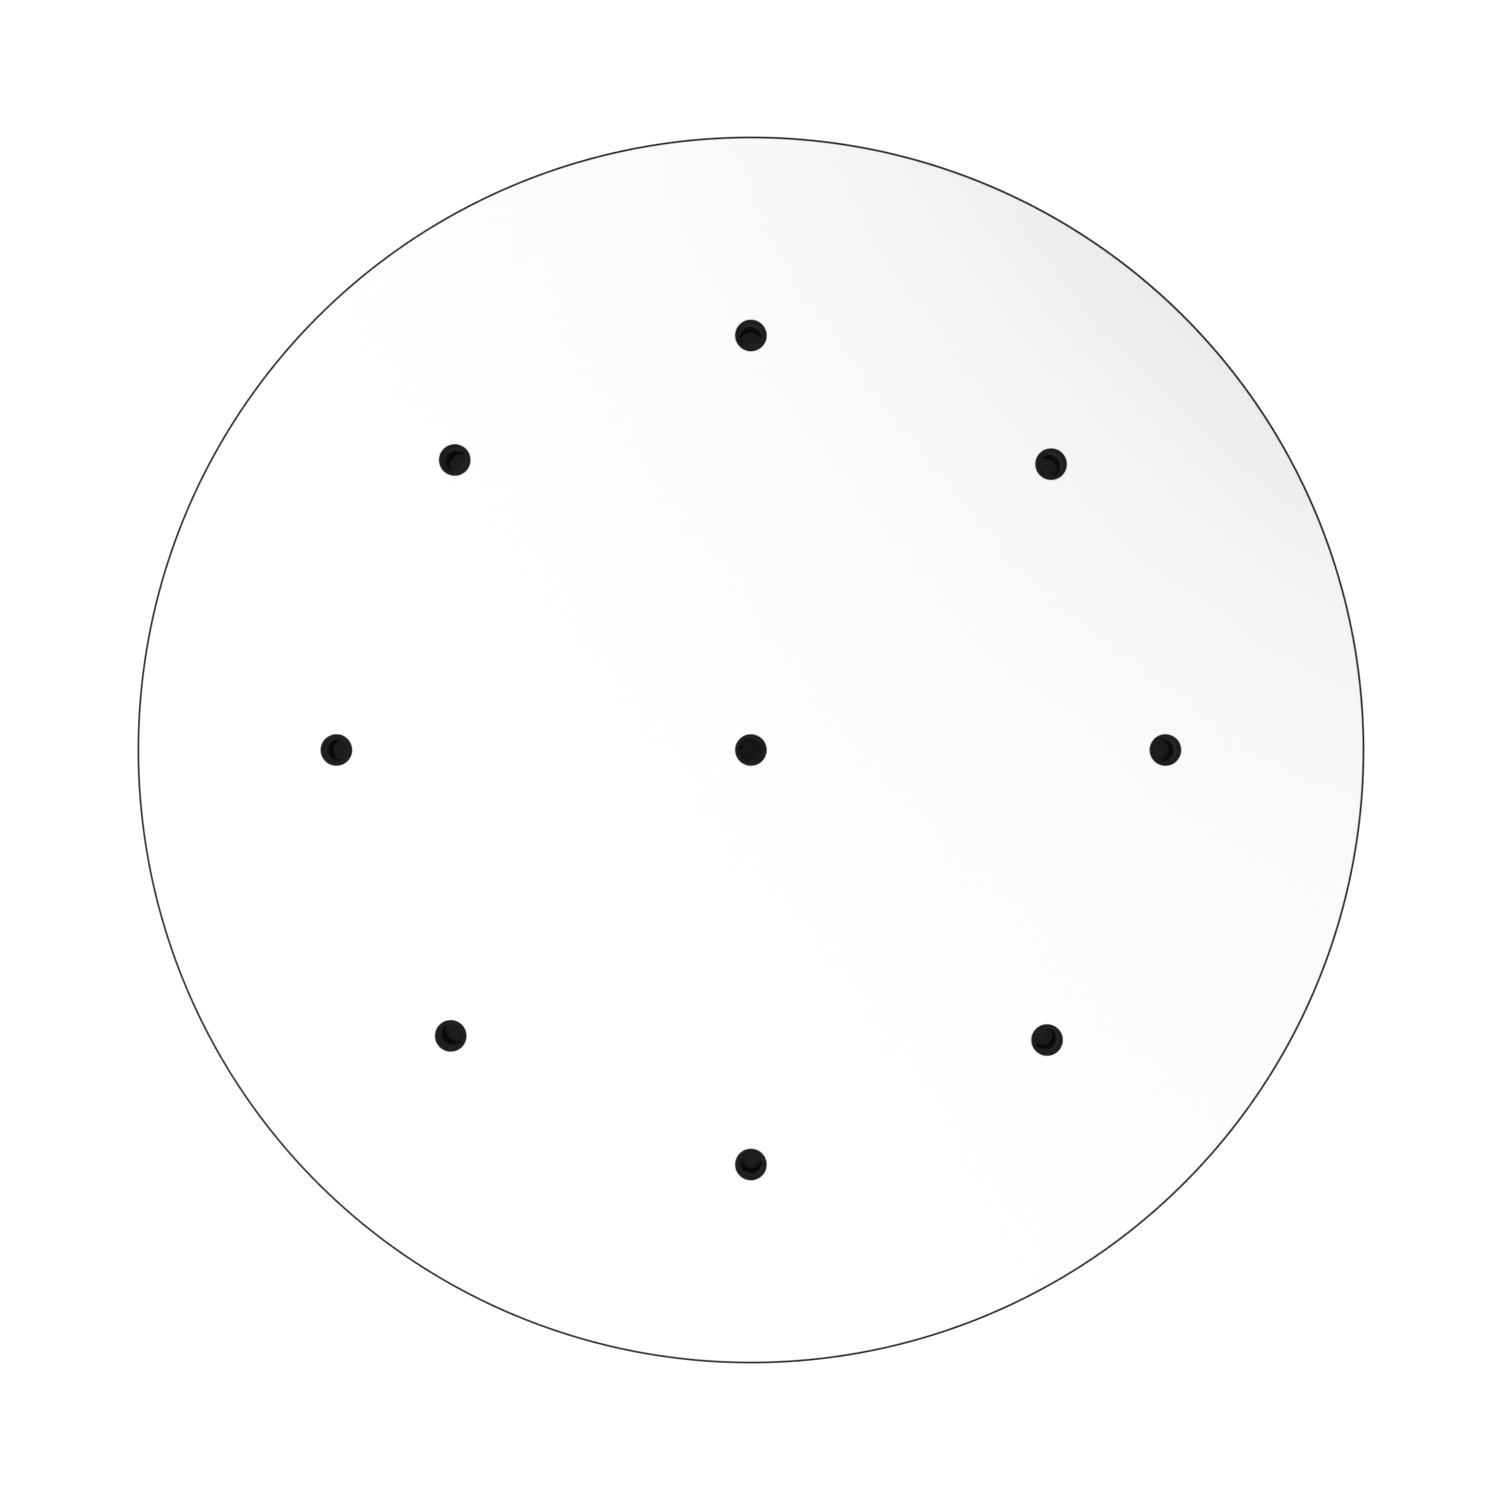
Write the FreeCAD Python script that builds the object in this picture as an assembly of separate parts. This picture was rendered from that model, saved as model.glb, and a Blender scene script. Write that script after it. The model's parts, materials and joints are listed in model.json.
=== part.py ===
import FreeCAD, Part
import math
import os

# Nine-outlet ceiling rose: a flat round composite cover, held by magnets on a shallow round housing.
# Millimetres. The origin is the centre of the side that meets the ceiling, at z = 0, and +Z points out of the
# ceiling into the room, so the cover's visible face is the top of the model. Each function makes one kind of
# piece, and pieces() gives each piece its name.

Vector = FreeCAD.Vector
UP = Vector(0, 0, 1)
ALONG_X = Vector(1, 0, 0)
ALONG_Y = Vector(0, 1, 0)
CENTRE = Vector(0, 0, 0)
EPSILON = 0.01
BEYOND = 50.0  # a cutter's reach where it has to run out of the object

# Cover: a sandwich panel of two lacquered aluminium skins on a black core
COVER_RADIUS = 200.0
PANEL = 3.0
SKIN = 0.3
EDGE_REVEAL = 0.7  # the skins stop this far short of the core's rim, which shows as a dark hairline
CORE_EDGE = 0.25  # small bevel on the core's rim

# Cable outlets: one in the centre and eight on a circle
OUTLET_HOLE_RADIUS = 5.2
OUTLET_CIRCLE = 135.0
OUTLET_ANGLES = (0.0, 43.6, 90.0, 135.6, 180.0, 223.6, 270.0, 315.6)

# Housing: a rolled side ring with a flange at the ceiling, and a back plate lying on that flange
HOUSING_RADIUS = 175.0
HOUSING_HEIGHT = 34.5
COVER_GAP = 0.5
SHEET = 1.2
PLATE = 1.5
FLANGE_WIDTH = 17.0
LIP_WIDTH = 8.0
CORNER = 3.0  # outside radius of the ring's bends
PLATE_CLEARANCE = 0.4
GROOVE_CIRCLES = (90.0, 127.0)
GROOVE_WIDTH = 3.0
GROOVE_DEPTH = 0.4

# Heights that the rest is built on
FLOOR = SHEET + PLATE  # top of the back plate
COVER_BACK = HOUSING_HEIGHT + COVER_GAP
COVER_FACE = COVER_BACK + PANEL

# Ceiling fixings, supply entry and rivets in the back plate
FIXING_CIRCLE = 110.0
FIXING_HOLE_RADIUS = 2.75
FIXING_ANGLES = (45.0, 135.0, 225.0, 315.0)
ENTRY_HOLE_RADIUS = 13.0
ENTRY_BORE_RADIUS = 7.0
ENTRY_EASE = 0.8
GROMMET_LIP = 4.0
RIVET_CIRCLE = 165.0
RIVETS = 8
RIVET_RADIUS = 1.6
RIVET_HEAD_RADIUS = 3.0
RIVET_SET_RADIUS = 2.5
RIVET_SET_HEIGHT = 1.8

# Cord glands, with a clamp screw in a boss on one side
GLAND_BORE_RADIUS = 3.7
GLAND_MOUTH = 0.8
GLAND_FLANGE_RADIUS = 9.0
GLAND_FLANGE = 2.0
GLAND_BODY_RADIUS = 7.0
GLAND_LENGTH = 17.0
GLAND_FILLET = 1.2
GLAND_BOSS_RADIUS = 4.0
GLAND_BOSS_REACH = 9.5
GLAND_SCREW_RADIUS = 2.0
GLAND_SCREW_HEAD_RADIUS = 3.5
GLAND_SCREW_HEAD = 2.4
GLAND_SCREW_SLOT = 0.8
GLAND_SCREW_SHANK = 6.6
GLAND_SCREW_Z = COVER_BACK - GLAND_FLANGE - 9.0

# Pot magnets on Z brackets, and dished steel keepers under the cover
MAGNET_CIRCLE = 146.0
MAGNET_ANGLES = (22.0, 112.0, 202.0, 292.0)
MAGNET_RADIUS = 10.0
MAGNET_HEIGHT = 6.0
CUP_WALL = 1.6
CUP_FLOOR = 2.0
CUP_HOLE_RADIUS = 2.1
MAGNET_GAP = 0.5  # between the magnet and its cup's wall
MAGNET_SINK = 0.1  # the magnet's face below the cup's rim
MAGNET_BORE_RADIUS = 2.4
MAGNET_MOUTH_RADIUS = 4.6
KEEPER_RADIUS = 15.0
KEEPER = 1.5
KEEPER_PLAY = 0.5
KEEPER_GRIP = 1.6  # how far the keeper's rim reaches down over the magnet
PAD = 0.5
MAGNET_FACE = COVER_BACK - PAD - KEEPER
SHELF_TOP = MAGNET_FACE - MAGNET_HEIGHT

BRACKET_WIDTH = 22.0
BRACKET_FOOT = 20.0
BRACKET_KNEE = MAGNET_CIRCLE - MAGNET_RADIUS - 3.0
BRACKET_BEND = 0.6
BRACKET_CORNER = 3.0
BRACKET_STUDS_RADIUS = 123.0
BRACKET_STUDS = (-6.0, 6.0)

# Fasteners
STUD_RADIUS = 1.5
STUD_CHAMFER = 0.4
SMALL_NUT = (5.5, 2.4)  # across flats, height
LARGE_NUT = (7.0, 3.2)
MAGNET_SCREW_RADIUS = 2.0
MAGNET_SCREW_HEAD_RADIUS = 3.9
MAGNET_SCREW_SLOT = 0.9
MAGNET_SCREW_SINK = 0.4
MAGNET_SCREW_END = 5.0

# Terminal strip for live and neutral
POLES = 10
POLE_PITCH = 11.0
POLE_WIDTH = 8.0
POLE_EDGE = 0.8
STRIP_Y = 52.0
STRIP_DEPTH = 18.0
STRIP_WALL = 8.0
SHOULDER = 10.2
WAIST = 9.0
TURRET_TOP = 14.0
TURRET_Y = 4.4
TURRET_WELL_RADIUS = 2.1
WEB_DEPTH = 12.0
STRIP_FIXING_GAPS = (1.5, 7.5)  # in pole pitches from the first pole
STRIP_BOSS_RADIUS = 3.0
STRIP_POCKET_RADIUS = 3.3
WIRE_Z = FLOOR + 5.2
WIRE_RADIUS = 1.5
WIRE_MOUTH_RADIUS = 3.2
WIRE_MOUTH_DEPTH = 2.2
TUBE_RADIUS = 2.1
TUBE_LENGTH = 14.0
TUBE_STOP = 0.8  # the web in the middle of a tube, against which wire and link are pushed
CLAMP_RADIUS = 1.3
CLAMP_SHANK = 5.0
CLAMP_HEAD_RADIUS = 1.9
CLAMP_HEAD = 1.8
CLAMP_SLOT = 0.6

# Copper combs that join neighbouring poles, and their moulded covers
LINK_SHEET = 0.8
LINK_SPINE = 3.0
LINK_PRONG_WIDTH = 2.0
LINK_PRONG = 7.5
LINK_BACK = STRIP_Y + STRIP_DEPTH / 2
SLEEVE_DEPTH = 4.6
SLEEVE_HEIGHT = 4.0
SLEEVE_EDGE = 0.7

# Earth bar on two spacers
EARTH_Y = -52.0
EARTH_LENGTH = 84.0
EARTH_SIDE = 8.0
EARTH_CHAMFER = 0.4
EARTH_WAYS = 7
EARTH_PITCH = 8.0
EARTH_BORE_RADIUS = 2.2
EARTH_BORE_RISE = 0.42  # of the bar's side
EARTH_SCREW_RADIUS = 1.75
EARTH_HEAD_RADIUS = 2.9
EARTH_HEAD = 2.2
EARTH_SLOT = 0.8
EARTH_LOW = FLOOR + 5.0
EARTH_HIGH = EARTH_LOW + EARTH_SIDE
EARTH_STUD_RADIUS = 2.0
EARTH_STUDS = (-35.0, 35.0)
EARTH_HOLE_RADIUS = EARTH_STUD_RADIUS + 0.15
SPACER_RADIUS = 3.5
WASHER_RADIUS = 4.2
WASHER = 0.8
WASHER_TEETH = 12


# ---------------------------------------------------------------- helpers

def polar(radius, degrees, z=0.0):
    turn = math.radians(degrees)
    return Vector(radius * math.cos(turn), radius * math.sin(turn), z)


def cylinder(radius, low, high, at=CENTRE):
    return Part.makeCylinder(radius, high - low, Vector(at.x, at.y, low), UP)


def tube(outer, inner, low, high, at=CENTRE):
    return cylinder(outer, low, high, at).cut(cylinder(inner, low - 1, high + 1, at))


def block(size_x, size_y, low, high, at=CENTRE):
    corner = Vector(at.x - size_x / 2, at.y - size_y / 2, low)
    return Part.makeBox(size_x, size_y, high - low, corner)


def revolved(outline):
    """A solid of revolution about Z from an outline of (radius, z) points."""
    points = [Vector(r, 0, z) for r, z in outline]
    face = Part.Face(Part.makePolygon(points + points[:1]))
    return face.revolve(CENTRE, UP, 360)


def moved(shape, at, degrees=0.0):
    """The shape turned about Z through the origin and then shifted."""
    copy = shape.copy()
    copy.Placement = FreeCAD.Placement(at, FreeCAD.Rotation(UP, degrees)).multiply(copy.Placement)
    return copy


def joined(shapes):
    whole = shapes[0]
    for shape in shapes[1:]:
        whole = whole.fuse(shape)
    return whole.removeSplitter()


def without(shape, cutters):
    for cutter in cutters:
        shape = shape.cut(cutter)
    return shape


# ---------------------------------------------------------------- fasteners

def hexagon(across_flats, low, high, at):
    """A hexagonal prism with its upper corners chamfered."""
    radius = across_flats / math.sqrt(3)
    ease = 0.4
    cone = 2.4
    corners = [at + polar(radius, 60 * k, low) for k in range(7)]
    prism = Part.Face(Part.makePolygon(corners)).extrude(Vector(0, 0, high - low))
    chamfer = Part.makeCone(radius - ease + cone, radius - ease, cone, Vector(at.x, at.y, high - cone), UP)
    return prism.common(chamfer.fuse(cylinder(radius + cone, low - 1, high - cone, at)))


def nut(thread, size, low, at=CENTRE):
    """A nut for a thread of that radius. The size is its width across flats and its height."""
    across_flats, height = size
    bore = cylinder(thread, low - 1, low + height + 1, at)
    return hexagon(across_flats, low, low + height, at).cut(bore)


def slotted_head(radius, low, height, slot, at=CENTRE, degrees=0.0):
    """A cheese head with a rounded top edge and a screwdriver slot."""
    head = cylinder(radius, low, low + height, at)
    top = [edge for edge in head.Edges if abs(edge.CenterOfMass.z - low - height) < EPSILON]
    head = head.makeFillet(0.4, top[:1])
    groove = block(4 * radius, slot, low + height * 0.45, low + height + 1)
    return head.cut(moved(groove, Vector(at.x, at.y, 0), degrees))


def stud(at, height, radius=STUD_RADIUS):
    """A stud welded to the back plate."""
    body = revolved([(0, FLOOR), (radius, FLOOR), (radius, FLOOR + height - STUD_CHAMFER),
                     (radius - STUD_CHAMFER, FLOOR + height), (0, FLOOR + height)])
    return moved(body, at)


# ---------------------------------------------------------------- cover

def outlet_places():
    return [CENTRE] + [polar(OUTLET_CIRCLE, angle) for angle in OUTLET_ANGLES]


def cover_layer(radius, low, high):
    holes = [cylinder(OUTLET_HOLE_RADIUS, low - 1, high + 1, at) for at in outlet_places()]
    return without(cylinder(radius, low, high), holes)


def cover_core():
    core = cover_layer(COVER_RADIUS, COVER_BACK + SKIN, COVER_FACE - SKIN)
    rims = [edge for edge in core.Edges if edge.BoundBox.XLength > 2 * COVER_RADIUS - 1]
    return core.makeChamfer(CORE_EDGE, rims)


def keeper():
    """A dished steel washer that grips the magnet and centres the cover on it."""
    rim_in = MAGNET_RADIUS + KEEPER_PLAY
    rim_out = rim_in + KEEPER
    low = MAGNET_FACE - KEEPER_GRIP
    top = MAGNET_FACE + KEEPER
    ease = 0.4
    return revolved([(0, MAGNET_FACE), (rim_in, MAGNET_FACE), (rim_in, low), (rim_out, low),
                     (rim_out, MAGNET_FACE), (KEEPER_RADIUS - ease, MAGNET_FACE),
                     (KEEPER_RADIUS, MAGNET_FACE + ease), (KEEPER_RADIUS, top), (0, top)])


def keeper_pad():
    """The foam tape that bonds a keeper to the cover."""
    return cylinder(KEEPER_RADIUS - 0.5, MAGNET_FACE + KEEPER, COVER_BACK)


def outlet_gland():
    """A bush pushed in from behind until its flange seats. Its end lies flush with the cover's face."""
    seat = COVER_BACK - GLAND_FLANGE
    low = seat - GLAND_LENGTH
    edge = 0.4
    outline = [(0, low), (GLAND_BODY_RADIUS - GLAND_MOUTH, low), (GLAND_BODY_RADIUS, low + GLAND_MOUTH),
               (GLAND_BODY_RADIUS, seat - GLAND_FILLET), (GLAND_BODY_RADIUS + GLAND_FILLET, seat),
               (GLAND_FLANGE_RADIUS - edge, seat), (GLAND_FLANGE_RADIUS, seat + edge),
               (GLAND_FLANGE_RADIUS, COVER_BACK), (OUTLET_HOLE_RADIUS, COVER_BACK),
               (OUTLET_HOLE_RADIUS, COVER_FACE), (0, COVER_FACE)]
    middle = Vector(0, 0, GLAND_SCREW_Z)
    boss = Part.makeCylinder(GLAND_BOSS_RADIUS, GLAND_BOSS_REACH, middle, ALONG_X)
    thread = Part.makeCylinder(GLAND_SCREW_RADIUS, 2 * GLAND_BOSS_REACH, middle, ALONG_X)
    mouth = GLAND_BORE_RADIUS + GLAND_MOUTH
    bore = revolved([(0, low - 1), (mouth, low - 1), (mouth, low), (GLAND_BORE_RADIUS, low + GLAND_MOUTH),
                     (GLAND_BORE_RADIUS, COVER_FACE - GLAND_MOUTH), (mouth, COVER_FACE),
                     (mouth, COVER_FACE + 1), (0, COVER_FACE + 1)])
    return revolved(outline).fuse(boss).cut(bore).cut(thread).removeSplitter()


def gland_screw():
    """The clamp screw, backed out so that its tip stays clear of the cable bore."""
    head = slotted_head(GLAND_SCREW_HEAD_RADIUS, GLAND_SCREW_SHANK, GLAND_SCREW_HEAD, GLAND_SCREW_SLOT)
    upright = joined([cylinder(GLAND_SCREW_RADIUS, 0, GLAND_SCREW_SHANK), head])
    tip = Vector(GLAND_BORE_RADIUS + 0.3, 0, GLAND_SCREW_Z)
    upright.Placement = FreeCAD.Placement(tip, FreeCAD.Rotation(ALONG_Y, 90))
    return upright


def gland_turn(at):
    """Degrees by which a gland is turned, so that its screw faces the middle of the housing."""
    if at.Length < 1:
        return 90.0
    return math.degrees(math.atan2(-at.y, -at.x))


# ---------------------------------------------------------------- housing

def rivet_places():
    return [polar(RIVET_CIRCLE, 360.0 / RIVETS * k) for k in range(RIVETS)]


def side_ring():
    """Rolled sheet: a flange at the ceiling, the wall, and an inward lip under the cover."""
    outer = HOUSING_RADIUS
    inner = HOUSING_RADIUS - SHEET
    under_lip = HOUSING_HEIGHT - SHEET
    ring = revolved([(outer - FLANGE_WIDTH, 0), (outer, 0), (outer, HOUSING_HEIGHT),
                     (outer - LIP_WIDTH, HOUSING_HEIGHT), (outer - LIP_WIDTH, under_lip),
                     (inner, under_lip), (inner, SHEET), (outer - FLANGE_WIDTH, SHEET)])

    def bend_edges(radius, z):
        return [e for e in ring.Edges if abs(e.CenterOfMass.z - z) < EPSILON
                and abs(e.BoundBox.XLength - 2 * radius) < EPSILON]

    ring = ring.makeFillet(CORNER, bend_edges(outer, 0) + bend_edges(outer, HOUSING_HEIGHT))
    ring = ring.makeFillet(CORNER - SHEET, bend_edges(inner, SHEET) + bend_edges(inner, under_lip))
    return without(ring, [rivet(at) for at in rivet_places()])


def side_ring_zones():
    """The ring's flat flange, its wall with both bends, and its flat lip, parted where the bends begin."""
    ring = side_ring()
    seam = HOUSING_RADIUS - CORNER
    middle = HOUSING_HEIGHT / 2
    flange_side = cylinder(seam, -1, middle)
    lip_side = cylinder(seam, middle, HOUSING_HEIGHT + 1)
    return {
        "side_ring_flange": ring.common(flange_side),
        "side_ring_wall": without(ring, [flange_side, lip_side]),
        "side_ring_lip": ring.common(lip_side),
    }


def rivet(at):
    """A blind rivet from the ceiling side: flush countersunk head, shank, and the set end on the plate."""
    top = FLOOR + RIVET_SET_HEIGHT
    outline = [(0, 0), (RIVET_HEAD_RADIUS, 0), (RIVET_RADIUS, SHEET - 0.1), (RIVET_RADIUS, FLOOR),
               (RIVET_SET_RADIUS, FLOOR), (RIVET_SET_RADIUS - 0.2, top - 0.4), (RIVET_SET_RADIUS - 1.3, top),
               (0, top)]
    return moved(revolved(outline), at)


def back_plate():
    plate = cylinder(HOUSING_RADIUS - CORNER - PLATE_CLEARANCE, SHEET, FLOOR)
    holes = [cylinder(ENTRY_HOLE_RADIUS, 0, BEYOND)]
    holes += [cylinder(FIXING_HOLE_RADIUS, 0, BEYOND, polar(FIXING_CIRCLE, angle)) for angle in FIXING_ANGLES]
    holes += [rivet(at) for at in rivet_places()]
    holes += stiffening_grooves()
    return without(plate, holes)


def stiffening_grooves():
    """Two shallow rolled rings that keep the plate flat."""
    half = GROOVE_WIDTH / 2
    return [tube(radius + half, radius - half, FLOOR - GROOVE_DEPTH, BEYOND) for radius in GROOVE_CIRCLES]


def entry_grommet():
    """A rubber grommet that grips the plate's edge, so that the supply cable can't chafe."""
    bore = ENTRY_BORE_RADIUS
    lip = ENTRY_HOLE_RADIUS + GROMMET_LIP
    low = 0.1
    high = FLOOR + 3.0
    return revolved([(bore, low + ENTRY_EASE), (bore + ENTRY_EASE, low), (lip - 0.5, low), (lip, low + 0.5),
                     (lip, SHEET), (ENTRY_HOLE_RADIUS, SHEET), (ENTRY_HOLE_RADIUS, FLOOR), (lip, FLOOR),
                     (lip, FLOOR + 1.2), (lip - 1.6, high), (bore + ENTRY_EASE, high),
                     (bore, high - ENTRY_EASE)])


# ---------------------------------------------------------------- magnets

def bracket_stud_places(angle):
    """The two studs under a bracket's foot, inwards of the magnet."""
    return [moved(Part.Vertex(BRACKET_STUDS_RADIUS, side, 0), CENTRE, angle).Point for side in BRACKET_STUDS]


def magnet_bracket():
    """A Z bracket along +X: foot on the plate, upright, and the shelf that carries the magnet."""
    foot = BRACKET_KNEE - BRACKET_FOOT
    face = BRACKET_KNEE + SHEET
    shelf = MAGNET_CIRCLE + MAGNET_RADIUS + 1.0
    under = SHELF_TOP - SHEET
    outline = [Vector(foot, 0, FLOOR), Vector(face, 0, FLOOR), Vector(face, 0, under), Vector(shelf, 0, under),
               Vector(shelf, 0, SHELF_TOP), Vector(BRACKET_KNEE, 0, SHELF_TOP),
               Vector(BRACKET_KNEE, 0, FLOOR + SHEET), Vector(foot, 0, FLOOR + SHEET)]
    sheet = Part.Face(Part.makePolygon(outline + outline[:1])).extrude(Vector(0, BRACKET_WIDTH, 0))
    sheet.translate(Vector(0, -BRACKET_WIDTH / 2, 0))

    def bends(x, z):
        return [e for e in sheet.Edges if e.BoundBox.YLength > BRACKET_WIDTH - 1
                and abs(e.CenterOfMass.x - x) < EPSILON and abs(e.CenterOfMass.z - z) < EPSILON]

    sheet = sheet.makeFillet(SHEET + BRACKET_BEND, bends(face, FLOOR) + bends(BRACKET_KNEE, SHELF_TOP))
    sheet = sheet.makeFillet(BRACKET_BEND, bends(BRACKET_KNEE, FLOOR + SHEET) + bends(face, under))
    corners = [e for e in sheet.Edges if abs(e.BoundBox.ZLength - SHEET) < EPSILON
               and e.BoundBox.XLength < EPSILON and e.BoundBox.YLength < EPSILON]
    sheet = sheet.makeFillet(BRACKET_CORNER, corners)
    holes = [cylinder(CUP_HOLE_RADIUS, under - 1, SHELF_TOP + 1, Vector(MAGNET_CIRCLE, 0, 0))]
    holes += [cylinder(STUD_RADIUS + 0.2, FLOOR - 1, FLOOR + SHEET + 1, at) for at in bracket_stud_places(0)]
    return without(sheet, holes)


def magnet_cup():
    """The steel pot round the magnet."""
    edge = 0.6
    inner = MAGNET_RADIUS - CUP_WALL
    bottom = SHELF_TOP + CUP_FLOOR
    cup = revolved([(0, SHELF_TOP), (MAGNET_RADIUS - edge, SHELF_TOP), (MAGNET_RADIUS, SHELF_TOP + edge),
                    (MAGNET_RADIUS, MAGNET_FACE), (inner, MAGNET_FACE), (inner, bottom), (0, bottom)])
    return cup.cut(cylinder(CUP_HOLE_RADIUS, 0, BEYOND))


def magnet_ring():
    """The magnet itself, in the cup with a fine gap all round and a countersunk hole."""
    outer = MAGNET_RADIUS - CUP_WALL - MAGNET_GAP
    bottom = SHELF_TOP + CUP_FLOOR
    face = MAGNET_FACE - MAGNET_SINK
    edge = 0.3
    depth = MAGNET_MOUTH_RADIUS - MAGNET_BORE_RADIUS
    return revolved([(MAGNET_BORE_RADIUS, bottom), (outer, bottom), (outer, face - edge), (outer - edge, face),
                     (MAGNET_MOUTH_RADIUS, face), (MAGNET_BORE_RADIUS, face - depth)])


def magnet_screw():
    """A countersunk screw through magnet, cup and shelf."""
    face = MAGNET_FACE - MAGNET_SCREW_SINK
    end = SHELF_TOP - SHEET - MAGNET_SCREW_END
    shank = MAGNET_SCREW_RADIUS
    head = MAGNET_SCREW_HEAD_RADIUS
    rim = 0.2
    body = revolved([(0, end), (shank - STUD_CHAMFER, end), (shank, end + STUD_CHAMFER),
                     (shank, face - rim - head + shank), (head, face - rim), (head, face), (0, face)])
    return body.cut(block(3 * head, MAGNET_SCREW_SLOT, face - 0.9, face + 1))


def magnet_nut():
    return nut(MAGNET_SCREW_RADIUS, LARGE_NUT, SHELF_TOP - SHEET - LARGE_NUT[1])


# ---------------------------------------------------------------- terminal strip

def pole_x(index):
    return (index - (POLES - 1) / 2) * POLE_PITCH


def strip_fixing_places():
    return [Vector(pole_x(gap), STRIP_Y, 0) for gap in STRIP_FIXING_GAPS]


def terminal_pole():
    """One pole of the strip, centred on the origin in x and y, with a screw turret over each wire mouth."""
    half = STRIP_DEPTH / 2
    waist = 1.4
    turret_in = waist
    turret_out = TURRET_Y + 3.0
    rear = [(half, 0), (half, SHOULDER), (turret_out, SHOULDER + 0.6), (turret_out, TURRET_TOP),
            (turret_in, TURRET_TOP), (waist, WAIST)]
    profile = rear + [(-y, z) for y, z in reversed(rear)]
    points = [Vector(-POLE_WIDTH / 2, y, FLOOR + z) for y, z in profile]
    pole = Part.Face(Part.makePolygon(points + points[:1])).extrude(Vector(POLE_WIDTH, 0, 0))
    uprights = [e for e in pole.Edges if e.BoundBox.XLength < EPSILON and e.BoundBox.YLength < EPSILON]
    pole = pole.makeFillet(POLE_EDGE, uprights)
    wire = Part.makeCylinder(TUBE_RADIUS, 3 * half, Vector(0, -1.5 * half, WIRE_Z), ALONG_Y)
    mouths = [Part.makeCone(WIRE_MOUTH_RADIUS, TUBE_RADIUS, WIRE_MOUTH_DEPTH, Vector(0, side * half, WIRE_Z),
                            Vector(0, -side, 0)) for side in (-1, 1)]
    wells = [cylinder(TURRET_WELL_RADIUS, WIRE_Z, BEYOND, Vector(0, side * TURRET_Y, 0)) for side in (-1, 1)]
    return without(pole, [wire] + mouths + wells)


def terminal_strip():
    wall_top = FLOOR + STRIP_WALL
    poles = [moved(terminal_pole(), Vector(pole_x(k), STRIP_Y, 0)) for k in range(POLES)]
    web_width = POLE_PITCH - POLE_WIDTH + 0.4
    webs = [block(web_width, WEB_DEPTH, FLOOR, wall_top, Vector(pole_x(k + 0.5), STRIP_Y, 0))
            for k in range(POLES - 1)]
    bosses = [cylinder(STRIP_BOSS_RADIUS, FLOOR, wall_top, at) for at in strip_fixing_places()]
    holes = [cylinder(STUD_RADIUS + 0.1, 0, BEYOND, at) for at in strip_fixing_places()]
    pockets = [cylinder(STRIP_POCKET_RADIUS, wall_top, BEYOND, at) for at in strip_fixing_places()]
    return without(joined(poles + webs + bosses), holes + pockets)


def terminal_tube(index):
    """The brass tube of one pole, bored from both ends, with a threaded hole for each clamp screw."""
    middle = Vector(pole_x(index), STRIP_Y, WIRE_Z)
    brass = Part.makeCylinder(TUBE_RADIUS, TUBE_LENGTH, middle - ALONG_Y * (TUBE_LENGTH / 2), ALONG_Y)
    holes = []
    for side in (-1, 1):
        outwards = ALONG_Y * side
        holes.append(Part.makeCylinder(WIRE_RADIUS, TUBE_LENGTH, middle + outwards * (TUBE_STOP / 2), outwards))
        holes.append(cylinder(CLAMP_RADIUS, WIRE_Z, BEYOND, middle + outwards * TURRET_Y))
    return without(brass, holes)


def clamp_screws(index):
    """The two clamp screws of one pole, backed out clear of the wire way."""
    made = []
    low = WIRE_Z + WIRE_RADIUS + 0.15
    for side in (-1, 1):
        at = Vector(pole_x(index), STRIP_Y + side * TURRET_Y, 0)
        turn = 35 * index + 20 * side
        shank = cylinder(CLAMP_RADIUS, low, low + CLAMP_SHANK, at)
        head = slotted_head(CLAMP_HEAD_RADIUS, low + CLAMP_SHANK - 0.4, CLAMP_HEAD, CLAMP_SLOT, at, turn)
        made.append(joined([shank, head]))
    return made


def link(first, last):
    """A comb of copper that joins neighbouring poles, pushed in from the strip's rear side."""
    low = WIRE_Z - LINK_SHEET / 2
    high = WIRE_Z + LINK_SHEET / 2
    width = pole_x(last) - pole_x(first) + 3.0
    middle = Vector((pole_x(first) + pole_x(last)) / 2, LINK_BACK + LINK_SPINE, 0)
    spine = block(width, LINK_SPINE, low, high, middle)
    prong_y = LINK_BACK + 2.0 - LINK_PRONG / 2
    prongs = [block(LINK_PRONG_WIDTH, LINK_PRONG, low, high, Vector(pole_x(k), prong_y, 0))
              for k in range(first, last + 1)]
    return joined([spine] + prongs)


def link_sleeve(first, last):
    """The moulded cover on the comb's spine."""
    width = pole_x(last) - pole_x(first) + 5.0
    middle = Vector((pole_x(first) + pole_x(last)) / 2, LINK_BACK + 3.4, 0)
    sleeve = block(width, SLEEVE_DEPTH, WIRE_Z - SLEEVE_HEIGHT / 2, WIRE_Z + SLEEVE_HEIGHT / 2, middle)
    sleeve = sleeve.makeFillet(SLEEVE_EDGE, [e for e in sleeve.Edges if e.BoundBox.XLength > width - 1])
    return sleeve.cut(link(first, last))


# ---------------------------------------------------------------- earth bar

def earth_stud_places():
    return [Vector(x, EARTH_Y, 0) for x in EARTH_STUDS]


def earth_way_x(index):
    return (index - (EARTH_WAYS - 1) / 2) * EARTH_PITCH


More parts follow.
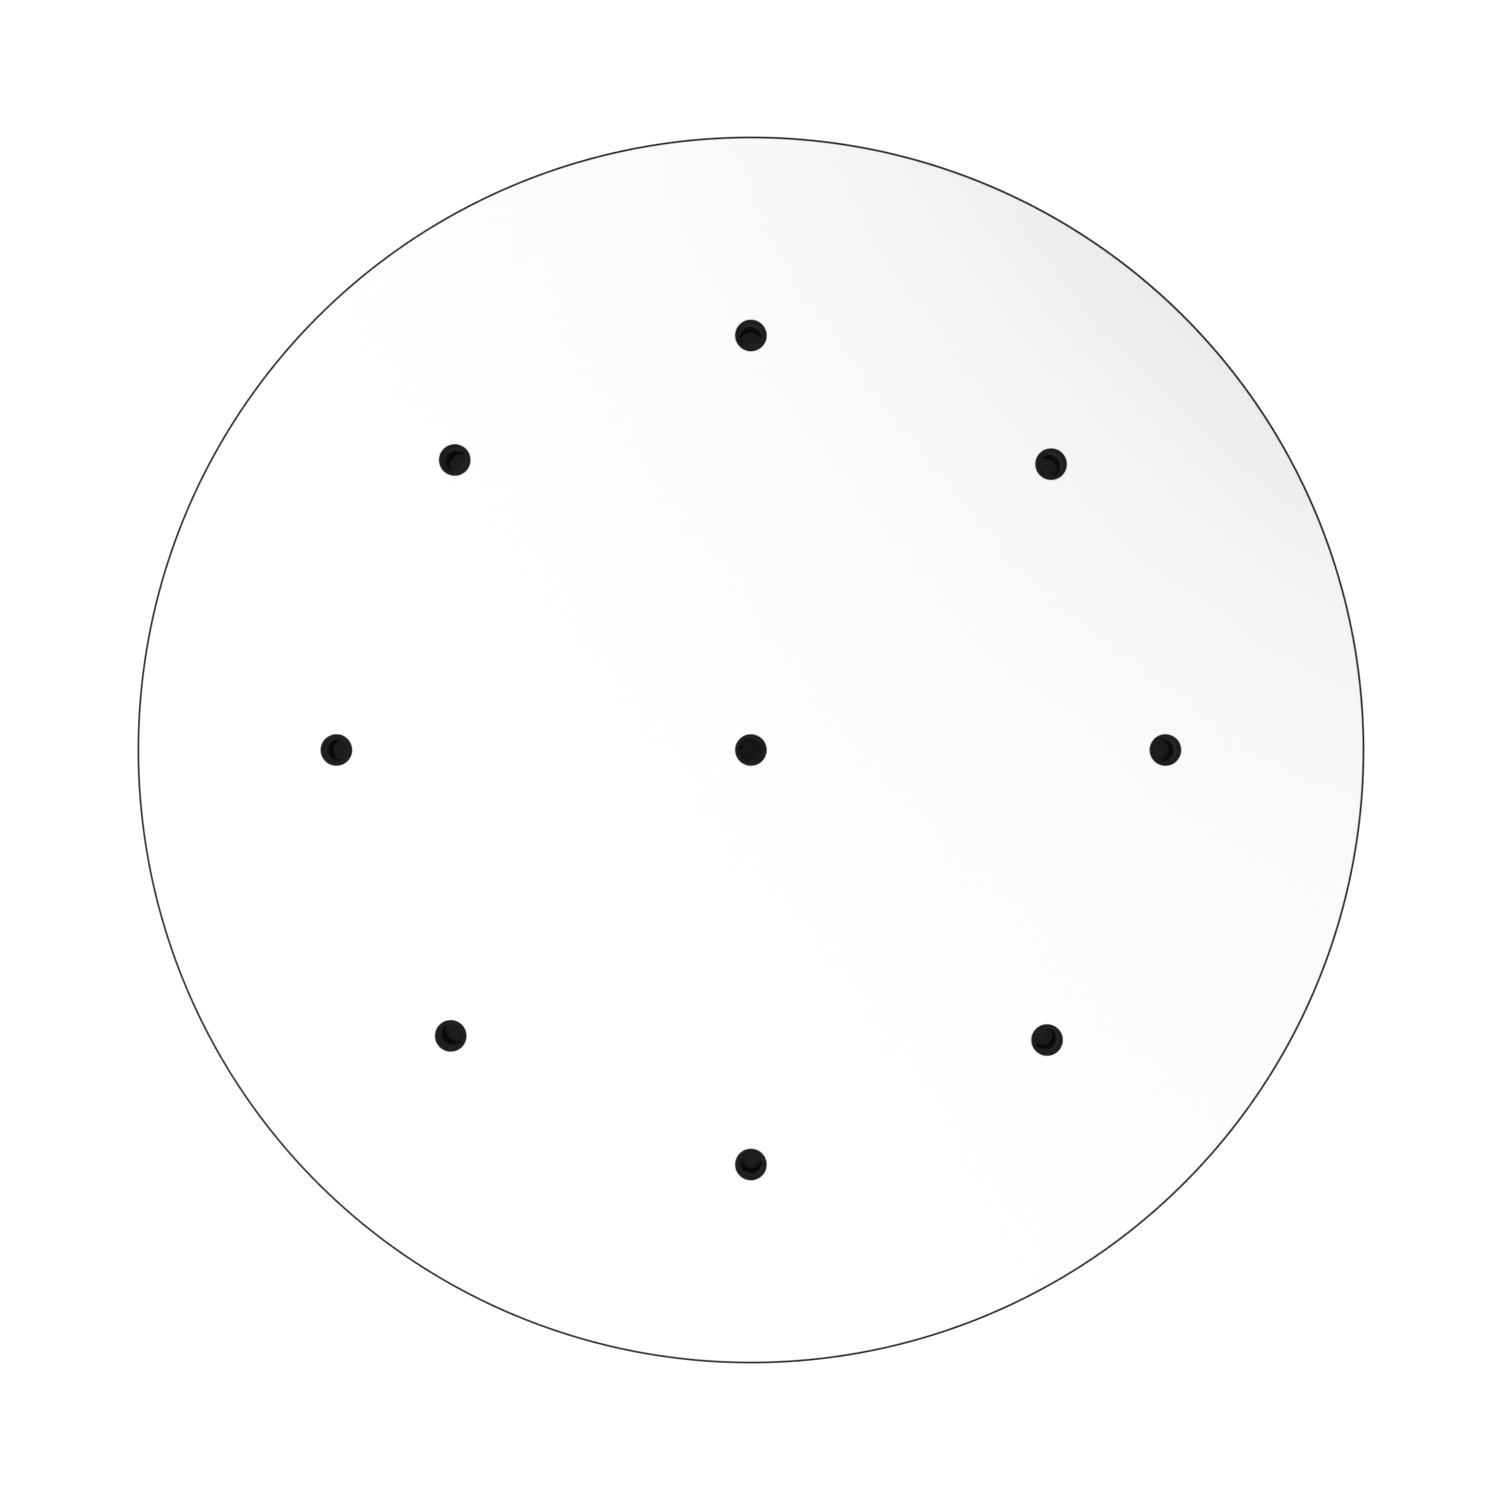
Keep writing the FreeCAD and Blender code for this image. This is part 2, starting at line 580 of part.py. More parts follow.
def earth_bar():
    bar = block(EARTH_LENGTH, EARTH_SIDE, EARTH_LOW, EARTH_HIGH, Vector(0, EARTH_Y, 0))
    bar = bar.makeChamfer(EARTH_CHAMFER, [e for e in bar.Edges if e.BoundBox.XLength > EARTH_LENGTH - 1])
    holes = [cylinder(EARTH_HOLE_RADIUS, 0, BEYOND, at) for at in earth_stud_places()]
    for k in range(EARTH_WAYS):
        x = earth_way_x(k)
        start = Vector(x, EARTH_Y - EARTH_SIDE, EARTH_LOW + EARTH_SIDE * EARTH_BORE_RISE)
        holes.append(Part.makeCylinder(EARTH_BORE_RADIUS, 2 * EARTH_SIDE, start, ALONG_Y))
        holes.append(cylinder(EARTH_SCREW_RADIUS, EARTH_LOW + EARTH_SIDE / 2, BEYOND, Vector(x, EARTH_Y, 0)))
    return without(bar, holes)


def earth_screw(index):
    at = Vector(earth_way_x(index), EARTH_Y, 0)
    shank = cylinder(EARTH_SCREW_RADIUS, EARTH_HIGH - 2.4, EARTH_HIGH + 1.0, at)
    turn = 27 * index + 10
    return joined([shank, slotted_head(EARTH_HEAD_RADIUS, EARTH_HIGH + 0.6, EARTH_HEAD, EARTH_SLOT, at, turn)])


def earth_spacer(at):
    return tube(SPACER_RADIUS, EARTH_HOLE_RADIUS, FLOOR, EARTH_LOW, at)


def earth_washer(at):
    """A serrated lock washer under the nut."""
    washer = tube(WASHER_RADIUS, EARTH_HOLE_RADIUS, EARTH_HIGH, EARTH_HIGH + WASHER, at)
    step = 360.0 / WASHER_TEETH
    notches = [moved(block(1.0, 0.9, EARTH_HIGH - 1, EARTH_HIGH + 2), at + polar(4.3, step * k), step * k)
               for k in range(WASHER_TEETH)]
    return without(washer, notches)


# ---------------------------------------------------------------- pieces

def pieces():
    """Every piece by name. A list is a group of separate solids that share one node."""
    earth_stud_height = EARTH_HIGH - FLOOR + 5.6
    bracket_studs = [at for angle in MAGNET_ANGLES for at in bracket_stud_places(angle)]
    skin_radius = COVER_RADIUS - EDGE_REVEAL
    made = side_ring_zones()
    made.update({
        "back_plate": back_plate(),
        "ring_rivets": [rivet(at) for at in rivet_places()],
        "entry_grommet": entry_grommet(),
        "terminal_strip": terminal_strip(),
        "terminal_tubes": [terminal_tube(k) for k in range(POLES)],
        "terminal_clamp_screws": [screw for k in range(POLES) for screw in clamp_screws(k)],
        "terminal_studs": [stud(at, STRIP_WALL + 3.4) for at in strip_fixing_places()],
        "terminal_nuts": [nut(STUD_RADIUS, SMALL_NUT, FLOOR + STRIP_WALL, at) for at in strip_fixing_places()],
        "earth_bar": earth_bar(),
        "earth_bar_screws": [earth_screw(k) for k in range(EARTH_WAYS)],
        "earth_bar_studs": [stud(at, earth_stud_height, EARTH_STUD_RADIUS) for at in earth_stud_places()],
        "earth_bar_spacers": [earth_spacer(at) for at in earth_stud_places()],
        "earth_bar_washers": [earth_washer(at) for at in earth_stud_places()],
        "earth_bar_nuts": [nut(EARTH_STUD_RADIUS, LARGE_NUT, EARTH_HIGH + WASHER, at)
                           for at in earth_stud_places()],
        "bracket_studs": [stud(at, SHEET + 3.6) for at in bracket_studs],
        "bracket_nuts": [nut(STUD_RADIUS, SMALL_NUT, FLOOR + SHEET, at) for at in bracket_studs],
        "magnet_screws": [moved(magnet_screw(), polar(MAGNET_CIRCLE, angle), angle) for angle in MAGNET_ANGLES],
        "magnet_nuts": [moved(magnet_nut(), polar(MAGNET_CIRCLE, angle), angle) for angle in MAGNET_ANGLES],
        "cover_front_skin": cover_layer(skin_radius, COVER_FACE - SKIN, COVER_FACE),
        "cover_core": cover_core(),
        "cover_back_skin": cover_layer(skin_radius, COVER_BACK, COVER_BACK + SKIN),
        "gland_clamp_screws": [moved(gland_screw(), at, gland_turn(at)) for at in outlet_places()],
    })
    half = POLES // 2
    for name, first, last in (("live", 0, half - 1), ("neutral", half, POLES - 1)):
        made[f"{name}_link"] = link(first, last)
        made[f"{name}_link_sleeve"] = link_sleeve(first, last)
    for number, angle in enumerate(MAGNET_ANGLES, 1):
        at = polar(MAGNET_CIRCLE, angle)
        made[f"magnet_bracket_{number}"] = moved(magnet_bracket(), CENTRE, angle)
        made[f"magnet_cup_{number}"] = moved(magnet_cup(), at, angle)
        made[f"magnet_ring_{number}"] = moved(magnet_ring(), at, angle)
        made[f"keeper_{number}"] = moved(keeper(), at, angle)
        made[f"keeper_pad_{number}"] = moved(keeper_pad(), at, angle)
    for number, at in enumerate(outlet_places()):
        name = f"outlet_gland_{number}" if number else "outlet_gland_centre"
        made[name] = moved(outlet_gland(), at, gland_turn(at))
    return made


def main():
    os.makedirs("parts", exist_ok=True)
    made = pieces()
    for name, shape in made.items():
        solids = shape if isinstance(shape, list) else [shape]
        whole = Part.makeCompound([solid for item in solids for solid in item.Solids])
        if not whole.isValid() or any(solid.Volume <= 0 for solid in whole.Solids):
            raise ValueError(f"{name} isn't a valid solid")
        whole.exportStep(f"parts/{name}.step")
        print(f"{name}: {len(whole.Solids)} solid(s), {whole.Volume / 1000:.2f} cm3")
    print(len(made), "nodes")


main()
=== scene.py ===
import bmesh
import bpy
import json
import math
from collections import namedtuple
from mathutils import Matrix, Vector

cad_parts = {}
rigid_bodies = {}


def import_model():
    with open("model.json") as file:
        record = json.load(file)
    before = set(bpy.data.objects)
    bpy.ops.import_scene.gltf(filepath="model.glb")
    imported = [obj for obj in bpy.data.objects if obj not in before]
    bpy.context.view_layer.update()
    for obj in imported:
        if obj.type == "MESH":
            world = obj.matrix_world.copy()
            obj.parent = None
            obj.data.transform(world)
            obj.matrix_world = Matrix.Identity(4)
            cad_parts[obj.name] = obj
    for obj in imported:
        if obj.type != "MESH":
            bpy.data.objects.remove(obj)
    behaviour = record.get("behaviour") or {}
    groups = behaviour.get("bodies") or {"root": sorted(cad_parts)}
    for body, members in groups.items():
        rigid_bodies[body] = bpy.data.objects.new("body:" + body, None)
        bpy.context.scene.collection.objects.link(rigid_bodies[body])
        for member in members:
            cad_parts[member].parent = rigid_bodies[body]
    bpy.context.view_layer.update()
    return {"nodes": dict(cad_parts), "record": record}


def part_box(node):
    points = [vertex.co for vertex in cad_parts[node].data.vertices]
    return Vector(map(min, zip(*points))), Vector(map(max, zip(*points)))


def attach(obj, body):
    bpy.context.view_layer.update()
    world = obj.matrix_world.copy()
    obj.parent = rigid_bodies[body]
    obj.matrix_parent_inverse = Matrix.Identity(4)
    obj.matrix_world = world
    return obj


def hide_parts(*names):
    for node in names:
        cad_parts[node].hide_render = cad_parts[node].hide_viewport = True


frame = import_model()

# Nine-outlet ceiling rose, lying on its ceiling side with its face up. Blender lengths are metres, and MM
# turns a size in millimetres into metres.
MM = 0.001

# Sizes and places that the frame's boxes don't give
OUTLET_CIRCLE = 135 * MM
OUTLET_ANGLES = (0.0, 43.6, 90.0, 135.6, 180.0, 223.6, 270.0, 315.6)
OUTLET_HOLE = 5.2 * MM
# The visual skins stop this much shorter than the CAD's. A dark line before a bright floor is thinned when it
# is rendered, and this gives the core's edge some of its weight back.
EDGE_ALLOWANCE = 0.15 * MM
GLAND_SCREW_Z = 24 * MM
FIXING_CIRCLE = 110 * MM
FIXING_ANGLES = (45.0, 135.0, 225.0, 315.0)
FIXING_HOLE = 2.75 * MM
RIVET_CIRCLE = 165 * MM
RIVETS = 8
MAGNET_CIRCLE = 146 * MM
MAGNET_ANGLES = (22.0, 112.0, 202.0, 292.0)
BRACKET_STUDS_RADIUS = 123 * MM
BRACKET_STUDS = (-6 * MM, 6 * MM)
SHEET = 1.2 * MM
STRIP_Y = 52 * MM
STRIP_STUDS = (-33 * MM, 33 * MM)
STRIP_WALL = 8 * MM
POLES = 10
POLE_PITCH = 11 * MM
CLAMP_Y = 4.4 * MM
CLAMP_LOW = 9.55 * MM
EARTH_Y = -52 * MM
EARTH_STUDS = (-35 * MM, 35 * MM)
EARTH_WAYS = 7
EARTH_PITCH = 8 * MM

# Metric screws and nuts: the thread's radius and pitch, and a nut's width across flats and its height
Metric = namedtuple("Metric", "thread pitch across_flats nut")
M3 = Metric(1.5 * MM, 0.5 * MM, 5.5 * MM, 2.4 * MM)
M4 = Metric(2.0 * MM, 0.7 * MM, 7.0 * MM, 3.2 * MM)
THREAD_PLAY = 0.05 * MM

# Edges sharper than this many degrees stay sharp in smooth shading. Large rounds have finer facets and a
# smaller angle.
CREASE = 32.0
LARGE_CREASE = 25.0
# Segments round the housing, and round the magnets
ROUND = 480
MAGNET_ROUND = 144
# Points closer together than this are one point
WELD = 0.001 * MM
# An outline's points nearer to the axis than this lie on it
ON_AXIS = 1e-9

skin_low, skin_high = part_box("cover_front_skin")
core_low, core_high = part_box("cover_core")
primer_low, primer_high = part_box("cover_back_skin")
ring_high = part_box("side_ring_wall")[1]
plate_low, plate_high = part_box("back_plate")
gland_low, gland_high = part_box("outlet_gland_centre")
grommet_low, grommet_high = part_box("entry_grommet")
cup_low, cup_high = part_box("magnet_cup_1")
keeper_low, keeper_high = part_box("keeper_1")
bar_low, bar_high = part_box("earth_bar")
FLOOR = plate_high.z


def polar(radius, degrees, z=0.0):
    """The point at that radius, angle and height."""
    turn = math.radians(degrees)
    return Vector((radius * math.cos(turn), radius * math.sin(turn), z))


outlets = {"outlet_gland_centre": Vector((0, 0, 0))}
for number, angle in enumerate(OUTLET_ANGLES, 1):
    outlets[f"outlet_gland_{number}"] = polar(OUTLET_CIRCLE, angle)


def gland_turn(at):
    """The angle that turns a gland so that its screw faces the middle of the housing."""
    if at.length < MM:
        return math.pi / 2
    return math.atan2(-at.y, -at.x)


# ---------------------------------------------------------------- meshes

def finished(bm, name, crease=CREASE):
    """Mesh data from a bmesh, smooth except across edges sharper than the crease, in degrees."""
    bmesh.ops.recalc_face_normals(bm, faces=bm.faces)
    mesh = bpy.data.meshes.new(name)
    bm.to_mesh(mesh)
    bm.free()
    mesh.shade_smooth()
    mesh.set_sharp_from_angle(angle=math.radians(crease))
    return mesh


def placed(name, mesh, body, paint, *nodes):
    """The mesh as a piece of that name, which rides on a body and stands for the CAD nodes."""
    piece = bpy.data.objects.new(name, mesh)
    bpy.context.scene.collection.objects.link(piece)
    mesh.materials.clear()
    mesh.materials.append(paints[paint])
    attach(piece, body)
    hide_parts(*nodes)


def rounded(corners, radii, steps=3):
    """A closed outline of (r, z) corners, with each corner eased by its radius.

    One radius may stand for all of them. A corner on the axis stays sharp."""
    if not isinstance(radii, list):
        radii = [radii] * len(corners)
    eased = []
    for k, (corner, radius) in enumerate(zip(corners, radii)):
        here = Vector(corner)
        before = Vector(corners[k - 1])
        after = Vector(corners[(k + 1) % len(corners)])
        if here.x < ON_AXIS or radius == 0:
            eased.append(tuple(here))
            continue
        back, on = before - here, after - here
        half = back.angle(on) / 2
        reach = min(radius / math.tan(half), 0.45 * back.length, 0.45 * on.length)
        start = here + back.normalized() * reach
        end = here + on.normalized() * reach
        for step in range(steps + 1):
            s = step / steps
            eased.append(tuple(start * (1 - s) ** 2 + here * 2 * s * (1 - s) + end * s ** 2))
    return eased


def scaled(corners):
    """Points given in millimetres, in metres."""
    return [(r * MM, z * MM) for r, z in corners]


def lathe(outline, segments):
    """A solid of revolution about Z from a closed outline of (r, z) points, as a bmesh."""
    bm = bmesh.new()
    rings = []
    for r, z in outline:
        count = 1 if r < ON_AXIS else segments
        rings.append([bm.verts.new(polar(r, 360 * k / segments, z)) for k in range(count)])
    for ring, following in zip(rings, rings[1:] + rings[:1]):
        if len(ring) + len(following) == 2:
            continue
        for k in range(segments):
            sides = [ring[k % len(ring)], ring[(k + 1) % len(ring)],
                     following[(k + 1) % len(following)], following[k % len(following)]]
            bm.faces.new(dict.fromkeys(sides))
    return bm


def prism(outline, low, high):
    """An upright prism over a closed outline of (x, y) points, as a bmesh."""
    bm = bmesh.new()
    rings = [[bm.verts.new((x, y, z)) for x, y in outline] for z in (low, high)]
    count = len(outline)
    for k in range(count):
        after = (k + 1) % count
        bm.faces.new([rings[0][k], rings[0][after], rings[1][after], rings[1][k]])
    bm.faces.new(rings[0][::-1])
    bm.faces.new(rings[1])
    return bm


def copies(mesh, matrices, name="copies"):
    """One mesh that holds a copy of the given mesh at each matrix."""
    bm = bmesh.new()
    for matrix in matrices:
        first = len(bm.verts)
        bm.from_mesh(mesh)
        bm.verts.ensure_lookup_table()
        bmesh.ops.transform(bm, matrix=matrix, verts=bm.verts[first:])
    return finished(bm, name)


def evaluated(source):
    """What an object becomes by its modifiers or its curve's thickness, welded, as a bmesh."""
    bpy.context.view_layer.update()
    result = bpy.data.meshes.new_from_object(source.evaluated_get(bpy.context.evaluated_depsgraph_get()))
    bm = bmesh.new()
    bm.from_mesh(result)
    bmesh.ops.remove_doubles(bm, verts=bm.verts, dist=WELD)
    return bm


def carved(mesh, other, operation="DIFFERENCE", crease=CREASE):
    """The mesh with another cut from it, joined to it or kept in common with it."""
    scene = bpy.context.scene.collection.objects
    body = bpy.data.objects.new("body", mesh)
    tool = bpy.data.objects.new("tool", other)
    scene.link(body)
    scene.link(tool)
    change = body.modifiers.new("change", "BOOLEAN")
    change.operation = operation
    change.solver = "EXACT"
    change.object = tool
    bm = evaluated(body)
    bpy.data.objects.remove(body)
    bpy.data.objects.remove(tool)
    return finished(bm, mesh.name, crease)


def turned(outline, name, segments=128, crease=CREASE):
    """A solid of revolution as mesh data."""
    return finished(lathe(outline, segments), name, crease)


def panel(name, radius, low, high, edge):
    """A round sheet with the nine outlet holes and softened edges."""
    rim_points, hole_points, crease, flat = 720, 96, 60.0, 0.9999
    curve = bpy.data.curves.new(name, "CURVE")
    curve.dimensions = "2D"
    curve.fill_mode = "BOTH"
    curve.extrude = (high - low) / 2 - edge
    curve.bevel_depth = edge
    curve.bevel_resolution = 2
    rings = [(Vector((0, 0, 0)), radius - edge, rim_points)]
    rings += [(at, OUTLET_HOLE + edge, hole_points) for at in outlets.values()]
    for at, ring_radius, count in rings:
        spline = curve.splines.new("POLY")
        spline.points.add(count - 1)
        spline.use_cyclic_u = True
        for k, point in enumerate(spline.points):
            point.co = (*(at + polar(ring_radius, 360 * k / count)), 1)
    outline = bpy.data.objects.new(name, curve)
    bpy.context.scene.collection.objects.link(outline)
    bm = evaluated(outline)
    bpy.data.objects.remove(outline)
    bmesh.ops.translate(bm, verts=bm.verts, vec=(0, 0, (low + high) / 2))
    mesh = finished(bm, name, crease)
    for face in mesh.polygons:
        face.use_smooth = abs(face.normal.z) < flat
    return mesh


def threaded(radius, low, high, pitch, segments=40):
    """A threaded rod with chamfered ends, as mesh data."""
    depth, rows_per_turn = 0.6 * pitch, 8
    rows = round((high - low) / pitch * rows_per_turn)
    bm = bmesh.new()
    rings = []
    for row in range(rows + 1):
        z = low + (high - low) * row / rows
        ends = radius - depth + min(z - low, high - z)
        ring = []
        for k in range(segments):
            phase = (z / pitch - k / segments) % 1
            r = min(radius - depth * (1 - abs(2 * phase - 1)), ends)
            ring.append(bm.verts.new(polar(r, 360 * k / segments, z)))
        rings.append(ring)
    for ring, following in zip(rings, rings[1:]):
        for k in range(segments):
            after = (k + 1) % segments
            bm.faces.new([ring[k], ring[after], following[after], following[k]])
    bm.faces.new(rings[0][::-1])
    bm.faces.new(rings[-1])
    return finished(bm, "thread")


def slotted(radius, low, height, slot):
    """A screw head with a rounded top edge and a slot, as mesh data."""
    edge = 0.35 * MM
    head = turned(rounded([(0, low), (radius, low), (radius, low + height), (0, low + height)],
                          [0, edge / 3, edge, 0]), "head", 64)
    long = 2 * radius
    groove = prism([(-long, -slot / 2), (long, -slot / 2), (long, slot / 2), (-long, slot / 2)],
                   low + height * 0.45, low + 2 * height)
    return carved(head, finished(groove, "groove"))


def hex_nut(size, low):
    """A hexagon nut, chamfered on both faces, with a bore that opens at its ends."""
    thread, corner, high = size.thread, size.across_flats / math.sqrt(3), low + size.nut
    flats = finished(prism([tuple(polar(corner, 60 * k).xy) for k in range(6)], low, high), "nut")
    # The double cone that chamfers the corners runs a little past both faces, and so does the bore
    past, slope, lead = 0.1 * MM, 0.6, 0.35 * MM
    inner, outer = 0.985 * size.across_flats / 2, 1.01 * corner
    drop = (outer - inner) * slope
    start, mouth = inner - past / slope, thread + 2 * lead
    cone = turned([(0, low - past), (start, low - past), (outer, low + drop), (outer, high - drop),
                   (start, high + past), (0, high + past)], "cone", 96)
    bore = turned([(0, low - lead), (mouth, low - lead), (thread, low + lead), (thread, high - lead),
                   (mouth, high + lead), (0, high + lead)], "bore", 64)
    return carved(carved(flats, cone, "INTERSECT"), bore)


def softened(node, width):
    """Rounds the edges of a CAD node by modifiers, which leave its own mesh as it is."""
    piece = frame["nodes"][node]
    weld = piece.modifiers.new("weld", "WELD")
    weld.merge_threshold = WELD
    bevel = piece.modifiers.new("edges", "BEVEL")
    bevel.width = width
    bevel.segments = 2
    bevel.limit_method = "ANGLE"
    bevel.angle_limit = math.radians(40)
    bevel.harden_normals = True


# ---------------------------------------------------------------- materials

class Paint:
    """A Principled material whose colour, roughness and bump come from noise in the object's own space."""

    def __init__(self, name, color, roughness, metallic=0.0, **sockets):
        self.material = bpy.data.materials.new(name)
        self.material.use_nodes = True
        self.tree = self.material.node_tree
        self.shader = self.tree.nodes["Principled BSDF"]
        self.space = self.tree.nodes.new("ShaderNodeTexCoord").outputs["Object"]
        self.set("Base Color", (*color, 1))
        self.set("Roughness", roughness)
        self.set("Metallic", metallic)
        for socket, value in sockets.items():
            self.set(socket.replace("_", " "), value)

    def set(self, socket, value):
        """Sets a constant on the shader."""
        self.shader.inputs[socket].default_value = value

    def join(self, output, target):
        """Links two sockets."""
        self.tree.links.new(output, target)

    def stretched(self, scale):
        """The object's own space, scaled along its axes."""
        node = self.tree.nodes.new("ShaderNodeMapping")
        node.inputs["Scale"].default_value = scale
        self.join(self.space, node.inputs["Vector"])
        return node.outputs["Vector"]

    def noise(self, size, detail=3.0, stretch=None):
        """Noise between 0 and 1 with features of about that size."""
        node = self.tree.nodes.new("ShaderNodeTexNoise")
        node.inputs["Scale"].default_value = 1 / size
        node.inputs["Detail"].default_value = detail
        self.join(self.stretched(stretch) if stretch else self.space, node.inputs["Vector"])
        return node.outputs["Fac"]

    def cells(self, size):
        """The distance from the middle of the nearest of many cells of about that size."""
        node = self.tree.nodes.new("ShaderNodeTexVoronoi")
        node.inputs["Scale"].default_value = 1 / size
        self.join(self.space, node.inputs["Vector"])
        return node.outputs["Distance"]

    def band(self, value, low, high, to_low=0.0, to_high=1.0):
        """The value mapped from one span to another, and held at its ends."""
        node = self.tree.nodes.new("ShaderNodeMapRange")
        ends = {"From Min": low, "From Max": high, "To Min": to_low, "To Max": to_high}
        for name, number in ends.items():
            node.inputs[name].default_value = number
        self.join(value, node.inputs["Value"])
        return node.outputs["Result"]

    def plus(self, value, other, share):
        """The value with a share of the other one added to it."""
        node = self.tree.nodes.new("ShaderNodeMath")
        node.operation = "MULTIPLY_ADD"
        self.join(other, node.inputs[0])
        node.inputs[1].default_value = share
        self.join(value, node.inputs[2])
        return node.outputs["Value"]

    def tint(self, value, one, other):
        """Colours the surface from one colour to the other as the value goes from 0 to 1."""
        node = self.tree.nodes.new("ShaderNodeMix")
        node.data_type = "RGBA"
        ends = [socket for socket in node.inputs if socket.type == "RGBA"]
        for socket, color in zip(ends, (one, other)):
            socket.default_value = (*color, 1)
        self.join(value, node.inputs["Factor"])
        result = next(socket for socket in node.outputs if socket.type == "RGBA")
        self.join(result, self.shader.inputs["Base Color"])

    def rough(self, value, low, high):
        """Makes the roughness go from low to high with noise, which keeps near the middle of its range."""
        self.join(self.band(value, 0.3, 0.7, low, high), self.shader.inputs["Roughness"])

    def bump(self, value, depth):
        """Raises the surface by up to the depth, for its shading only."""
        node = self.tree.nodes.new("ShaderNodeBump")
        node.inputs["Distance"].default_value = depth
        self.join(value, node.inputs["Height"])
        self.join(node.outputs["Normal"], self.shader.inputs["Normal"])


def cover_lacquer():
    """Sprayed white satin lacquer with a faint orange peel."""
    paint = Paint("cover_lacquer", (0.87, 0.87, 0.865), 0.38, Coat_Weight=0.2, Coat_Roughness=0.22)
    paint.tint(paint.noise(60 * MM), (0.868, 0.868, 0.862), (0.876, 0.876, 0.872))
    paint.rough(paint.noise(9 * MM), 0.36, 0.42)
    paint.bump(paint.noise(1.6 * MM, 2.0), 0.006 * MM)
    return paint


def cover_primer():
    """The panel's rolled grey wash coat, with fine lengthwise streaks."""
    paint = Paint("cover_primer", (0.60, 0.60, 0.58), 0.5, 0.25)
    paint.tint(paint.noise(4 * MM, 4.0, (0.06, 1, 1)), (0.57, 0.57, 0.55), (0.63, 0.63, 0.615))
    paint.rough(paint.noise(3 * MM, 3.0, (0.1, 1, 1)), 0.44, 0.58)
    paint.bump(paint.noise(0.9 * MM, 2.0, (0.2, 1, 1)), 0.005 * MM)
    return paint


def cover_core():
    """Black polyethylene core with the fine marks of the router round its edge."""
    paint = Paint("cover_core", (0.007, 0.007, 0.007), 0.55, Specular_IOR_Level=0.25)
    paint.tint(paint.noise(1.5 * MM), (0.005, 0.005, 0.005), (0.010, 0.010, 0.010))
    paint.rough(paint.noise(0.6 * MM), 0.48, 0.68)
    paint.bump(paint.noise(0.35 * MM, 2.0, (1, 1, 0.15)), 0.02 * MM)
    return paint


def gland_nylon():
    """Black moulded nylon with a fine spark-eroded texture, its colour painted a shade paler down the bore
    than on its face: painted light that lifts the shade in the bore.
    """
    paint = Paint("gland_nylon", (0.006, 0.006, 0.006), 0.6, Specular_IOR_Level=0.1, Sheen_Weight=0.04)
    split = paint.tree.nodes.new("ShaderNodeSeparateXYZ")
    paint.join(paint.space, split.inputs["Vector"])
    mottle = 0.06
    # Painted light: below the face the colour grows paler with depth, lifting the shade down the bore, with a
    # little random mottle mixed in.
    depth = paint.band(split.outputs["Z"], gland_high.z - 0.5 * MM, gland_high.z - 2.5 * MM, 0.0, 1 - mottle)
    paint.tint(paint.plus(depth, paint.noise(2 * MM), mottle), (0.003, 0.003, 0.003), (0.06, 0.06, 0.06))
    paint.rough(paint.noise(0.5 * MM), 0.55, 0.7)
    paint.bump(paint.noise(0.22 * MM, 2.0), 0.008 * MM)
    return paint


def housing_paint():
    """White powder coat with its pebbled surface."""
    paint = Paint("housing_paint", (0.80, 0.80, 0.79), 0.42, Coat_Weight=0.1, Coat_Roughness=0.3)
    paint.tint(paint.noise(30 * MM), (0.79, 0.79, 0.78), (0.815, 0.815, 0.805))
    paint.rough(paint.noise(1.2 * MM), 0.38, 0.5)
    paint.bump(paint.noise(0.9 * MM, 3.0), 0.02 * MM)
    return paint


def zinc_plate():
    """Bright zinc plating, bluish with yellow hints."""
    paint = Paint("zinc_plate", (0.66, 0.67, 0.68), 0.3, 1.0)
    paint.tint(paint.noise(5 * MM, 2.0), (0.60, 0.63, 0.69), (0.72, 0.69, 0.62))
    paint.rough(paint.noise(0.8 * MM), 0.2, 0.38)
    paint.bump(paint.noise(0.3 * MM, 2.0), 0.003 * MM)
    return paint


def stud_copper():
    """Copper-flashed steel of a weld stud."""
    paint = Paint("stud_copper", (0.72, 0.42, 0.29), 0.35, 1.0)
    paint.tint(paint.noise(1.5 * MM), (0.62, 0.33, 0.22), (0.78, 0.50, 0.37))
    paint.rough(paint.noise(0.5 * MM), 0.28, 0.45)
    return paint


def rivet_aluminium():
    """Drawn aluminium, a little dull."""
    paint = Paint("rivet_aluminium", (0.72, 0.72, 0.73), 0.4, 1.0)
    paint.tint(paint.noise(1.2 * MM), (0.66, 0.66, 0.67), (0.76, 0.76, 0.77))
    paint.rough(paint.noise(0.4 * MM), 0.32, 0.5)
    paint.bump(paint.noise(0.25 * MM), 0.004 * MM)
    return paint


def grommet_rubber():
    """Moulded black rubber with a faint grey bloom."""
    paint = Paint("grommet_rubber", (0.018, 0.018, 0.018), 0.75, Specular_IOR_Level=0.4)
    paint.tint(paint.band(paint.noise(5 * MM, 5.0), 0.45, 0.75), (0.013, 0.013, 0.013), (0.04, 0.04, 0.04))
    paint.rough(paint.noise(1 * MM), 0.65, 0.85)
    paint.bump(paint.noise(0.3 * MM), 0.01 * MM)
    return paint


def terminal_nylon():
    """Natural polyamide: off-white, slightly translucent, with flow marks."""
    paint = Paint("terminal_nylon", (0.80, 0.78, 0.72), 0.42,
                  Subsurface_Weight=0.25, Subsurface_Scale=0.8 * MM)
    paint.tint(paint.noise(6 * MM, 2.0), (0.78, 0.76, 0.69), (0.83, 0.815, 0.76))
    paint.rough(paint.noise(0.8 * MM), 0.36, 0.5)
    paint.bump(paint.noise(0.4 * MM), 0.006 * MM)
    return paint


